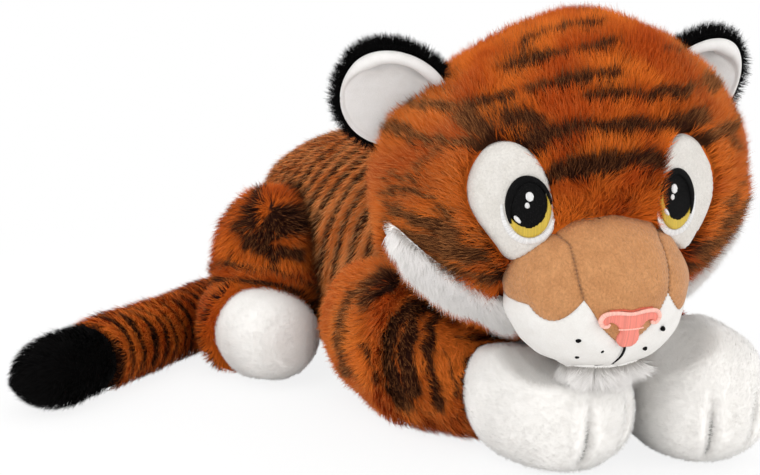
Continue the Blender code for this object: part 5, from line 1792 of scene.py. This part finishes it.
BRIDGE_LINE = out_to_edge(roll_out(spline(millimetres(
    (26.8, 121.4), (28.7, 131.0), (29.2, 140.0), (28.7, 151.0)), 10, False)))
TIP_LINE = roll_out(spline(millimetres(
    (26.8, 121.4), (23.0, 115.8), (19.8, 110.5), (15.8, 104.3), (10.6, 98.9), (5.3, 94.6), (0.0, 92.1)), 6, False))
LOBE_LINE = out_to_edge(roll_out(spline(millimetres(
    (26.8, 121.4), (29.8, 117.3), (33.2, 113.0), (36.8, 109.4), (40.5, 107.3), (44.5, 107.6), (48.0, 110.2),
    (51.0, 114.8)), 6, False)))
CHIN_LINE = out_to_edge(roll_out(spline(millimetres(
    (0.0, 92.1), (0.0, 88.0), (0.0, 83.0), (0.0, 78.0)), 8, False)))
SEAMS = [mirrored(line, side) for line in (BRIDGE_LINE, TIP_LINE, LOBE_LINE) for side in (-1, 1)] + [CHIN_LINE]
PUFF, PUFF_REACH, SEAM_DEPTH = 0.0022, 0.0060, 0.0013


def seam_gap(flat):
    """How far each flat place is from the nearest seam, and how far along that seam."""
    found = [line_distance(flat, line) for line in SEAMS[:-1]]
    gaps, runs = (np.stack(rows) for rows in zip(*found))
    near = gaps.argmin(0)
    rows = np.arange(len(flat))
    return gaps[near, rows], runs[near, rows] + near * 0.013


def seam_shade(flat):
    """How much painted shade each seam's groove gets: the two beside the bridge most, the lobes' edges
    hardly.
    """
    bridge = np.minimum(*(line_distance(flat, line)[0] for line in SEAMS[:2]))
    gap, run = seam_gap(flat)
    return np.minimum(bridge, gap + 0.0012) * 1000, run / 0.0026


def panel_rise(flat, edge):
    gap, run = seam_gap(flat)
    gather = 0.00040 * np.sin(run / 0.0030 * 2 * math.pi + 2 * np.sin(run / 0.008)) * np.exp(-gap / 0.0028)
    chin = 0.0006 * np.exp(-line_distance(flat, CHIN_LINE)[0] / 0.0015)
    lump = 0.0006 * ripple(np.pad(flat, ((0, 0), (0, 1))), 0.030, 41)
    return PUFF * (1 - np.exp(-gap / PUFF_REACH)) - SEAM_DEPTH + gather + lump * eased(gap / 0.01) - chin


PANELS = {"muzzle_bridge": (np.concatenate((
    TIP_LINE[::-1][:-1], BRIDGE_LINE, arc(BRIDGE_LINE[-1], mirrored(BRIDGE_LINE, -1)[-1]),
    mirrored(BRIDGE_LINE, -1)[::-1][:-1], mirrored(TIP_LINE, -1)[:-1])), TAN_MINKY, "tan_minky")}
for word, side in (("right", -1), ("left", 1)):
    bridge, tip, lobe = (mirrored(line, side) for line in (BRIDGE_LINE, TIP_LINE, LOBE_LINE))
    PANELS[f"muzzle_cheek_{word}"] = (np.concatenate((
        bridge, arc(bridge[-1], lobe[-1]), lobe[::-1][:-1])), TAN_MINKY, "tan_minky")
    PANELS[f"muzzle_lower_{word}"] = (np.concatenate((
        tip[::-1][:-1], lobe, arc(lobe[-1], CHIN_LINE[-1]), CHIN_LINE[::-1][:-1])), WHITE_VELBOA, "white_velboa")
MUZZLE_TOPS = {}
for name, (outline, made, slot) in PANELS.items():
    _, MUZZLE_TOPS[name] = sheet_piece(
        f"{name}_panel", outline, 0.0013, on_muzzle, panel_rise, -0.0045, ON_HEAD, "head", made, slot, [name],
        extra=seam_shade)
print("muzzle panels:", list(PANELS))


# %% [markdown]
# ## Nose, mouth and whisker dots
# The nose is satin stitch too: a body with upright threads, and a lighter raised edge that runs
# along the top, round each wing and curls in below it. The mouth is one thin stitched line.

# %% Nose and mouth
def flat_spline(points, steps=8, closed=False):
    return roll_out(spline(millimetres(*points), steps, closed))


NOSE_SURFACE = PUFF - SEAM_DEPTH
wing = [(0.0, 113.4), (8.6, 114.4), (14.6, 113.9), (17.5, 110.6), (16.6, 107.6), (13.4, 107.0), (12.2, 108.6),
        (9.8, 108.0), (7.2, 105.6)]
stem = [(5.6, 103.2), (6.6, 99.6), (6.2, 96.0), (3.6, 93.2)]
half_nose = wing + stem
nose = half_nose + [(0.0, 92.9)] + [(-x, z) for x, z in reversed(half_nose[1:])]
sheet_piece("nose_thread", flat_spline(nose, 5, True), 0.0008, on_muzzle,
            rounded((NOSE_SURFACE - 0.0002, NOSE_SURFACE + 0.0013), 0.0012), NOSE_SURFACE - 0.002, ON_HEAD, "head",
            PINK_THREAD, "pink_thread", ["nose"])
rim = [(12.6, 108.3), (13.8, 107.0), (16.2, 107.3), (17.6, 110.4), (15.2, 113.7), (9.0, 114.5), (0.0, 113.5)]
rim = rim + [(-x, z) for x, z in reversed(rim[:-1])]
rim_line = flat_spline(rim, 8)
swell = np.interp(np.linspace(0, 1, len(rim_line)), (0, 0.08, 0.3, 0.5, 0.7, 0.92, 1),
                  np.array((0.7, 1.2, 1.35, 1.05, 1.35, 1.2, 0.7)) / 1000)
band_piece("nose_edge", rim_line, swell, 0.0016, NOSE_SURFACE + 0.0006, on_muzzle, ON_HEAD, "head", PINK_EDGE,
           "pink_thread")
bar = flat_spline([(-7.4, 105.0), (-3.0, 104.7), (3.0, 104.7), (7.4, 105.0)], 10)
band_piece("nose_fold", bar, 0.0005, 0.0006, NOSE_SURFACE + 0.0011, on_muzzle, ON_HEAD, "head", PINK_EDGE,
           "pink_thread")
# Painted shade: a red-orange band just above the nose's pink edge, where it meets the muzzle.
top_line = flat_spline([(-13.0, 115.6), (-6.0, 115.9), (0.0, 115.0), (6.0, 115.9), (13.0, 115.6)], 8)
band_piece("nose_shade", top_line, 0.0006, 0.0007, NOSE_SURFACE, on_muzzle, ON_HEAD, "head", NOSE_TOP_PAINTED_SHADE,
           "pink_thread")
mouth = flat_spline([(0.0, 92.8), (1.0, 89.0), (1.2, 84.5), (0.4, 80.6), (-1.2, 77.8)], 10)
band_piece("mouth_thread", mouth, 0.0007, 0.0008, NOSE_SURFACE - 0.0012, on_muzzle, ON_HEAD, "head", BLACK_THREAD,
           "black_thread", ["mouth_stitch"])
# A thin black line along the jaw: partly a stitched line, partly painted shade where the muzzle meets the chin.
jaw = flat_spline([(-34.0, 80.6), (-26.0, 77.0), (-14.0, 76.2), (-1.2, 77.8), (10.0, 76.6), (20.0, 76.4)], 10)
band_piece("jaw_line_stitch_and_shade", jaw, 0.0004, 0.0005, NOSE_SURFACE - 0.0010, on_muzzle, ON_HEAD, "head", BLACK_THREAD,
           "black_thread")
for number, (x, z) in enumerate(((-26.8, 97.0), (-23.6, 85.2), (-12.8, 90.2), (24.0, 100.2), (15.0, 88.4)), 1):
    middle = roll_out(millimetres((x, z)))[0]
    sheet_piece(f"whisker_dot_{number}", ellipse(middle, (0.0018, 0.0015), 24, 0.5 * number), 0.0006, on_muzzle,
                rounded((NOSE_SURFACE - 0.0002, NOSE_SURFACE + 0.0008), 0.0009), NOSE_SURFACE - 0.001, ON_HEAD,
                "head", BLACK_THREAD, "black_thread")
print("nose, mouth and dots")

# %% [markdown]
# ## Ears
# Each ear is a cup of black long pile with a white velboa lining. The lining is folded over into a
# roll on the side towards the crown, and the roll's shadow is painted into its hollow. Both are drawn
# in the ear's own frame, where -Y is the way that it faces and +Z points away from the head.

# %% The ear's frame and profiles
EAR_HALF = (0.036, 0.041)
EAR_CUP = 0.016
EAR_CROWN, EAR_LOWER, EAR_LONG = 0.80, 1.10, 0.037
EAR_ELEVATION, EAR_FACING = math.radians(33), math.radians(38)


def ear_frame(side):
    out = Vector((side * math.cos(EAR_ELEVATION), 0, math.sin(EAR_ELEVATION)))
    facing = Matrix.Rotation(side * EAR_FACING, 3, "Z") @ Vector((0, -1, 0))
    ahead = (facing - out * facing.dot(out)).normalized()
    across = (-ahead).cross(out)
    reach = 1 / math.hypot(out.x / HEAD_HALF_WIDTH, out.z / HEAD_ABOVE)
    middle = Vector((0, HEAD_Y + 0.004, HEAD_Z)) + out * (reach + 0.006)
    return Matrix.Translation(middle) @ Matrix((across, -ahead, out)).transposed().to_4x4()


def lining_depth(share, v, side):
    """How far back the lining lies: a bowl, and a roll that is thickest towards the crown."""
    roll = eased((-side * np.cos(v) * 0.85 + np.sin(v) * 0.45 + 0.10) / 0.85)
    inner = 0.87 - 0.27 * roll
    middle, half = (inner + 0.99) / 2, (0.99 - inner) / 2
    bowl = 0.0080 * (1 - np.minimum(share / inner, 1) ** 2.0) + 0.0035 * roll * eased(share / 0.5)
    bump = np.sqrt(np.clip(1 - ((share - middle) / half) ** 2, 0, 1))
    crease = 0.0022 * roll * np.exp(-((share - inner + 0.02) / 0.06) ** 2)
    return bowl - (0.0018 + 0.0062 * roll) * bump + crease


def ear_place(local_x, depth, local_z, ear):
    return through(ear, stacked(local_x, depth, local_z).reshape(-1, 3))


def ear_width(v_or_x, side):
    """An ear is narrower on the side of the crown."""
    return EAR_HALF[0] * np.where(side * v_or_x < 0, EAR_CROWN, EAR_LOWER)


def lining_at(u, v, side, ear):
    share = 0.93 * np.sin(u) ** 0.8
    depth = lining_depth(share, v, side) - 0.0008 * np.cos(u) + 0.0004
    return ear_place(ear_width(np.cos(v), side) * share * np.cos(v), depth, EAR_LONG * share * np.sin(v), ear)


def hollow_shade(side, ear):
    """The roll's shadow, painted into the lining's hollow: a low value darkens the lining there."""
    away = np.array(ear.inverted())

    def measure(points):
        local = through(away, points)
        across, up = local[:, 0] / ear_width(local[:, 0], side), local[:, 2] / EAR_LONG
        share, v = np.hypot(across, up), np.arctan2(up, across)
        roll = eased((-side * np.cos(v) * 0.85 + np.sin(v) * 0.45 + 0.10) / 0.85)
        inside = 0.86 - 0.27 * roll - share
        return np.where(inside > -0.01, 0.3 + 7.0 * np.maximum(inside, 0) + 2.5 * (1 - roll), 9.0)
    return measure


def ear_back_at(u, v, side, ear):
    share = np.sin(u) ** 0.8
    front = lining_depth(np.minimum(share, 0.93), v, side) + 0.0022
    back = EAR_CUP * (1 - share * share) ** 0.8 + 0.0022
    depth = np.where(np.cos(u) > 0, np.minimum(front, back), back)
    return ear_place(ear_width(np.cos(v), side) * share * np.cos(v), depth, EAR_LONG * share * np.sin(v), ear)


def part_of(cover, keep):
    """The triangles of a cover whose middles are kept."""
    middles = cover["places"][cover["triangles"]].mean(1)
    chosen = keep(middles)
    return {**cover, "triangles": cover["triangles"][chosen], "areas": cover["areas"][chosen]}


EAR_BACKS = {}
for word, side in (("right", -1), ("left", 1)):
    ear = ear_frame(side)
    places, faces = round_cover(lambda u, v: lining_at(u, v, side, ear), 60, 84)
    # The seam mark on the lining carries the roll's painted shadow in its hollow.
    lining, _ = cover_piece(f"ear_lining_{word}_velboa", places, faces, ON_HEAD, f"ear_{word}", EAR_VELBOA_PAINTED_LIGHTER,
                            "white_velboa", plush_pattern, [f"ear_lining_{word}"],
                            {"seam": hollow_shade(side, ear)})
    places, faces = round_cover(lambda u, v: ear_back_at(u, v, side, ear), 44, 72)
    _, cup = cover_piece(f"ear_back_{word}_cover", places, faces, ON_HEAD, f"ear_{word}", BLACK_PILE, "black_plush",
                         plush_pattern, [f"ear_back_{word}"])
    away = np.array(ear.inverted())

    def outer_side(points):
        local = through(away, points)
        share = np.hypot(local[:, 0] / ear_width(local[:, 0], side), local[:, 2] / EAR_LONG)
        return (share > 0.925) | (local[:, 1] > 0.5 * EAR_CUP * (1 - np.minimum(share, 1) ** 2) ** 0.8 + 0.004)

    EAR_BACKS[word] = (part_of(cup, outer_side), ear)
print("ears:", list(EAR_BACKS))


# %% Combing the ears
def comb_ear(ear):
    """Outwards from the ear's middle."""
    middle, behind = np.array(ear.translation), np.array(ear)[:3, 1]

    def comb(points, normals):
        away = points - middle
        return unit(away) + 0.25 * behind + 0.35 * np.array((0, 0, 1.0))
    return comb


# %% [markdown]
# ## Ruff and chin tuft
# White fur, longer than any other, is sewn along both jaws and below the chin. A narrow strip of
# backing carries it, and it hangs down and forwards over the front legs and paws.

# %% Backing strips
RUFF_OUTLINE = spline(millimetres((107.5, 148), (100, 141), (90, 132), (75, 122.5), (58, 113.5), (43, 105),
                                  (42, 95), (44, 88), (56, 94), (70, 101), (84, 109.5), (94, 119.5), (101, 130),
                                  (107, 140)), 4)
RUFF_LENGTH = 0.0116


def thin_strip(flat, edge):
    return 0.0006 + 0.0010 * eased(edge / 0.004)


RUFFS = {}
for word, side in (("right", -1), ("left", 1)):
    _, (places, triangles) = sheet_piece(
        f"ruff_{word}_backing", mirrored(RUFF_OUTLINE, side), 0.0035, on_head, thin_strip, -0.003, ON_HEAD, "head",
        WHITE_PILE, "white_plush", [f"ruff_{word}"])
    RUFFS[word] = surface(places, triangles)
TUFT_OUTLINE = spline(np.array([(-0.024, -0.0560), (0.0, -0.0535), (0.024, -0.0560), (0.027, -0.072),
                                (0.022, -0.090), (0.0, -0.096), (-0.022, -0.090), (-0.027, -0.072)]), 4)
_, (places, triangles) = sheet_piece(
    "chin_tuft_backing", TUFT_OUTLINE, 0.0035, on_muzzle, lambda flat, edge: 0.0016 + 0 * edge, -0.002, ON_HEAD,
    "head", WHITE_PILE, "white_plush", ["chin_tuft"])
TUFT = surface(places, [t if winding_down(places, t) else t[::-1] for t in triangles])
print("ruffs and tuft:", sorted(RUFFS), len(TUFT["places"]))


# %% Combing the ruff
def comb_ruff(side):
    def comb(points, normals):
        return stacked(-side * 0.30 + 0.25 * ripple(points, 0.03, 51), -0.55, -0.85)
    return comb


def comb_tuft(points, normals):
    return stacked(0.5 * points[:, 0] / 0.027 + 0.35 * ripple(points, 0.02, 52), -0.55, -0.9)

# %% [markdown]
# ## Floor, light and camera
# A plain pale floor takes the toy's shadow. It shows white to the camera by the Light Path, so no
# extra light is needed for a white background. Two large soft boxes and an even sky light the toy
# as a product photographer would, and the camera stands where the photograph was taken.

# %% Stage
def show_white(made, tree, surface_shader):
    """Shows a material white to the camera and to glossy and transmission rays. Within about 0.3 m of
    the origin, where the toy lies, a small share of its own shading stays, and with it the toy's
    shadow; from there to 0.62 m that share fades out.
    """
    path = node(tree, "ShaderNodeLightPath")
    seen = maths(tree, "MAXIMUM", path.outputs["Is Camera Ray"],
                 maths(tree, "MAXIMUM", path.outputs["Is Glossy Ray"], path.outputs["Is Transmission Ray"]))
    glow = node(tree, "ShaderNodeEmission")
    glow.inputs["Strength"].default_value = 1.0
    far = node(tree, "ShaderNodeVectorMath", operation="LENGTH")
    tree.links.new(node(tree, "ShaderNodeNewGeometry").outputs["Position"], far.inputs[0])
    blend = node(tree, "ShaderNodeMixShader")
    tree.links.new(maths(tree, "MULTIPLY", seen, ranged(tree, far.outputs["Value"], 0.30, 0.62, 0.86, 1.0)),
                   blend.inputs[0])
    tree.links.new(surface_shader.outputs[0], blend.inputs[1])
    tree.links.new(glow.outputs[0], blend.inputs[2])
    tree.links.new(blend.outputs[0], tree.nodes["Material Output"].inputs["Surface"])
    return made


floor_mesh = bpy.data.meshes.new("floor")
reach = 6.0
floor_mesh.from_pydata([(-reach, -reach, 0), (reach, -reach, 0), (reach, reach, 0), (-reach, reach, 0)], [],
                       [(0, 1, 2, 3)])
floor = bpy.data.objects.new("floor", floor_mesh)
bpy.context.scene.collection.objects.link(floor)
floor_made, floor_tree, floor_shader = material("pale floor", 0.9)
floor_shader.inputs["Base Color"].default_value = (0.93, 0.93, 0.93, 1)
floor_mesh.materials.append(show_white(floor_made, floor_tree, floor_shader))

world = bpy.data.worlds.new("studio")
bpy.context.scene.world = world
world.use_nodes = True
sky = world.node_tree
plain = sky.nodes["Background"]
plain.inputs["Color"].default_value = (1, 1, 1, 1)
path = node(sky, "ShaderNodeLightPath")
seen = maths(sky, "MAXIMUM", path.outputs["Is Camera Ray"],
             maths(sky, "MAXIMUM", path.outputs["Is Glossy Ray"], path.outputs["Is Transmission Ray"]))
sky.links.new(ranged(sky, seen, 0.0, 1.0, 1.05, 1.0), plain.inputs["Strength"])

TARGET = Vector((-0.022, 0.0, 0.090)) + ON_BODY.translation
AZIMUTH, ELEVATION, DISTANCE = math.radians(-35), math.radians(13), 1.5


def looking(kind, name, place, target):
    obj = bpy.data.objects.new(name, kind)
    obj.location = place
    obj.rotation_euler = (Vector(place) - target).to_track_quat("Z", "Y").to_euler()
    bpy.context.scene.collection.objects.link(obj)
    return obj


def seen_from(azimuth, elevation, distance):
    back = Vector((math.sin(azimuth) * math.cos(elevation), -math.cos(azimuth) * math.cos(elevation),
                   math.sin(elevation)))
    return TARGET + back * distance


for name, azimuth, elevation, distance, size, power in (
    ("key soft box", math.radians(-75), math.radians(45), 1.3, 1.1, 3.0),
    ("front soft box", math.radians(5), math.radians(18), 1.5, 1.4, 3.2),
    ("top soft box", math.radians(0), math.radians(86), 1.3, 1.2, 1.2),
):
    lamp = bpy.data.lights.new(name, "AREA")
    lamp.shape, lamp.size, lamp.energy = "DISK", size, power
    looking(lamp, name, seen_from(azimuth, elevation, distance), TARGET)

lens = bpy.data.cameras.new("camera")
lens.lens, lens.sensor_width = 101.5, 36
lens.clip_start, lens.clip_end = 0.05, 30
bpy.context.scene.camera = looking(lens, "camera", seen_from(AZIMUTH, ELEVATION, DISTANCE), TARGET)
bpy.context.scene.view_settings.view_transform = "Standard"
print("camera at", tuple(round(v, 3) for v in bpy.context.scene.camera.location))

# %% What covers the head
def on_patch(points, margin):
    """In front of an eye patch, further from its edge than the margin."""
    found = np.zeros(len(points), bool)
    near = np.flatnonzero((points[:, 1] < HEAD_Y - 0.05) & (np.abs(points[:, 0]) < 0.085))
    for side in (-1, 1):
        outline = mirrored(PATCH_OUTLINE, side)
        flat = points[near][:, [0, 2]]
        found[near] |= inside_outline(flat, outline) & (line_distance(flat, outline, True)[0] > margin)
    return found


def head_hidden(points):
    """Under a patch, a ruff or the muzzle, or inside the body."""
    covered = (muzzle_gap(points) < 0.0005) | on_patch(points, 0.0)
    for side in (-1, 1):
        covered |= (points[:, 1] < HEAD_Y) & inside_outline(points[:, [0, 2]], mirrored(RUFF_OUTLINE, side))
    return covered | (torso_gap(through(ON_BODY.inverted() @ ON_HEAD, points)) < -0.012)


def head_clear(tips):
    """Tips that would hang across a patch or far over the muzzle."""
    return on_patch(tips, 0.0042) | (muzzle_gap(tips) < 0.0015)


# %% [markdown]
# ## The pile of every form
# Long strands where the fabric is long, short ones on the white paws and feet.

# %% Grow it
grow_pile("torso_pile", torso_cover, ON_BODY, "torso", PILE_TORSO, comb_torso, torso_pattern,
          length=0.0092, lean=(0.85, 1.25), spread=0.14, tuft=0.15, sway=0.06, hidden=torso_hidden,
          marks={"crease": torso_painted_shade}, seed=2)
grow_pile("head_pile", head_cover, ON_HEAD, "head", PILE_HEAD, comb_head, head_pattern,
          1.9, length=0.0114, lean=(0.42, 0.95), spread=0.45, hidden=head_hidden, clear=head_clear,
          marks={"frost": cheek_frost, "stroke": head_strokes}, seed=3)
for i, (word, spec) in enumerate(FRONT_SIDES.items()):
    side = spec["side"]
    grow_pile(f"front_leg_{word}_pile", LEG_COVERS[word], ON_BODY, f"arm_{word}", PILE_LEG,
              comb_leg(front_leg_line(spec)), leg_pattern(spec), length=0.0098, lean=(0.78, 1.25), seed=10 + i,
              marks={"crease": leg_painted_shade, "frost": leg_frost, "stroke": leg_strokes(spec)},
              hidden=lambda p: near_floor(p) | (torso_gap(p) < -0.014) | (paw_gap(p, spec) < -0.004))
    grow_pile(f"haunch_{word}_pile", HAUNCH_COVERS[word], ON_BODY, f"rear_leg_{word}", PILE_HAUNCH,
              comb_haunch(side), haunch_pattern(side), length=0.0110, lean=(0.65, 1.15), seed=20 + i,
              marks={"crease": haunch_painted_shade, "stroke": haunch_strokes(side)},
              hidden=lambda p: near_floor(p) | (torso_gap(p) < -0.012))
    grow_pile(f"shin_{word}_pile", SHIN_COVERS[word], ON_BODY, f"rear_leg_{word}", PILE_SHIN,
              comb_shin(side), shin_pattern(side), length=0.0080, lean=(0.70, 1.15), seed=30 + i,
              marks={"stroke": shin_strokes(side)},
              hidden=lambda p: near_floor(p) | (torso_gap(p) < -0.012) | (haunch_gap(p) < -0.008))
    grow_pile(f"front_paw_{word}_pile", PAW_COVERS[word], ON_BODY, f"arm_{word}", WHITE_PILE,
              comb_plush, plush_pattern, 2.0, 0.0032, 0.00028, lean=(0.75, 1.25), spread=0.45, tuft=0.0,
              sway=0.0, soft=0.96, marks={"crease": toe_line(spec)}, seed=40 + i, hidden=near_floor, shade=False)
    grow_pile(f"rear_foot_{word}_pile", FOOT_COVERS[word], ON_BODY, f"rear_leg_{word}", WHITE_PILE,
              comb_plush, plush_pattern, 2.0, 0.0032, 0.00028, lean=(0.75, 1.25), spread=0.45,
              tuft=0.0, sway=0.0, soft=0.96, seed=50 + i, hidden=near_floor, shade=False)
grow_pile("tail_pile", tail_cover, ON_BODY, "tail", PILE_TAIL, comb_tail, tail_pattern,
          length=0.0092, lean=(0.85, 1.25), sway=0.2, seed=60,
          hidden=lambda p: near_floor(p) | (torso_gap(p) < -0.012))
grow_pile("tail_tip_pile", tip_cover, ON_BODY, "tail", BLACK_PILE, comb_tail, tail_pattern,
          length=0.0080, lean=(0.75, 1.2), seed=61, hidden=near_floor)
for i, word in enumerate(("right", "left")):
    cup, ear = EAR_BACKS[word]
    grow_pile(f"ear_back_{word}_pile", cup, ON_HEAD, f"ear_{word}", BLACK_PILE, comb_ear(ear),
              plush_pattern, 2.8, 0.0070, 0.00026, lean=(0.30, 0.8), tuft=0.15, seed=70 + i,
              hidden=lambda p: head_gap(p) < -0.006)
    grow_pile(f"ruff_{word}_pile", RUFFS[word], ON_HEAD, "head", WHITE_FUR,
              comb_ruff((-1, 1)[i]), plush_pattern, 4.4, RUFF_LENGTH, 0.00030, lean=(0.35, 1.05), spread=0.5, tuft=0.5,
              clump=0.0032, soft=0.82, sway=0.5, outer=(-0.35, -0.58, 0.74), seed=80 + i, shade=False)
grow_pile("chin_tuft_pile", TUFT, ON_HEAD, "head", WHITE_FUR, comb_tuft, plush_pattern, 4.0,
          0.0140, 0.00032, lean=(0.35, 0.9), tuft=0.30, clump=0.0028, soft=0.94, outer=(-0.25, -0.65, 0.70),
          seed=82, shade=False)
print("strands in all:", sum(STRANDS.values()))
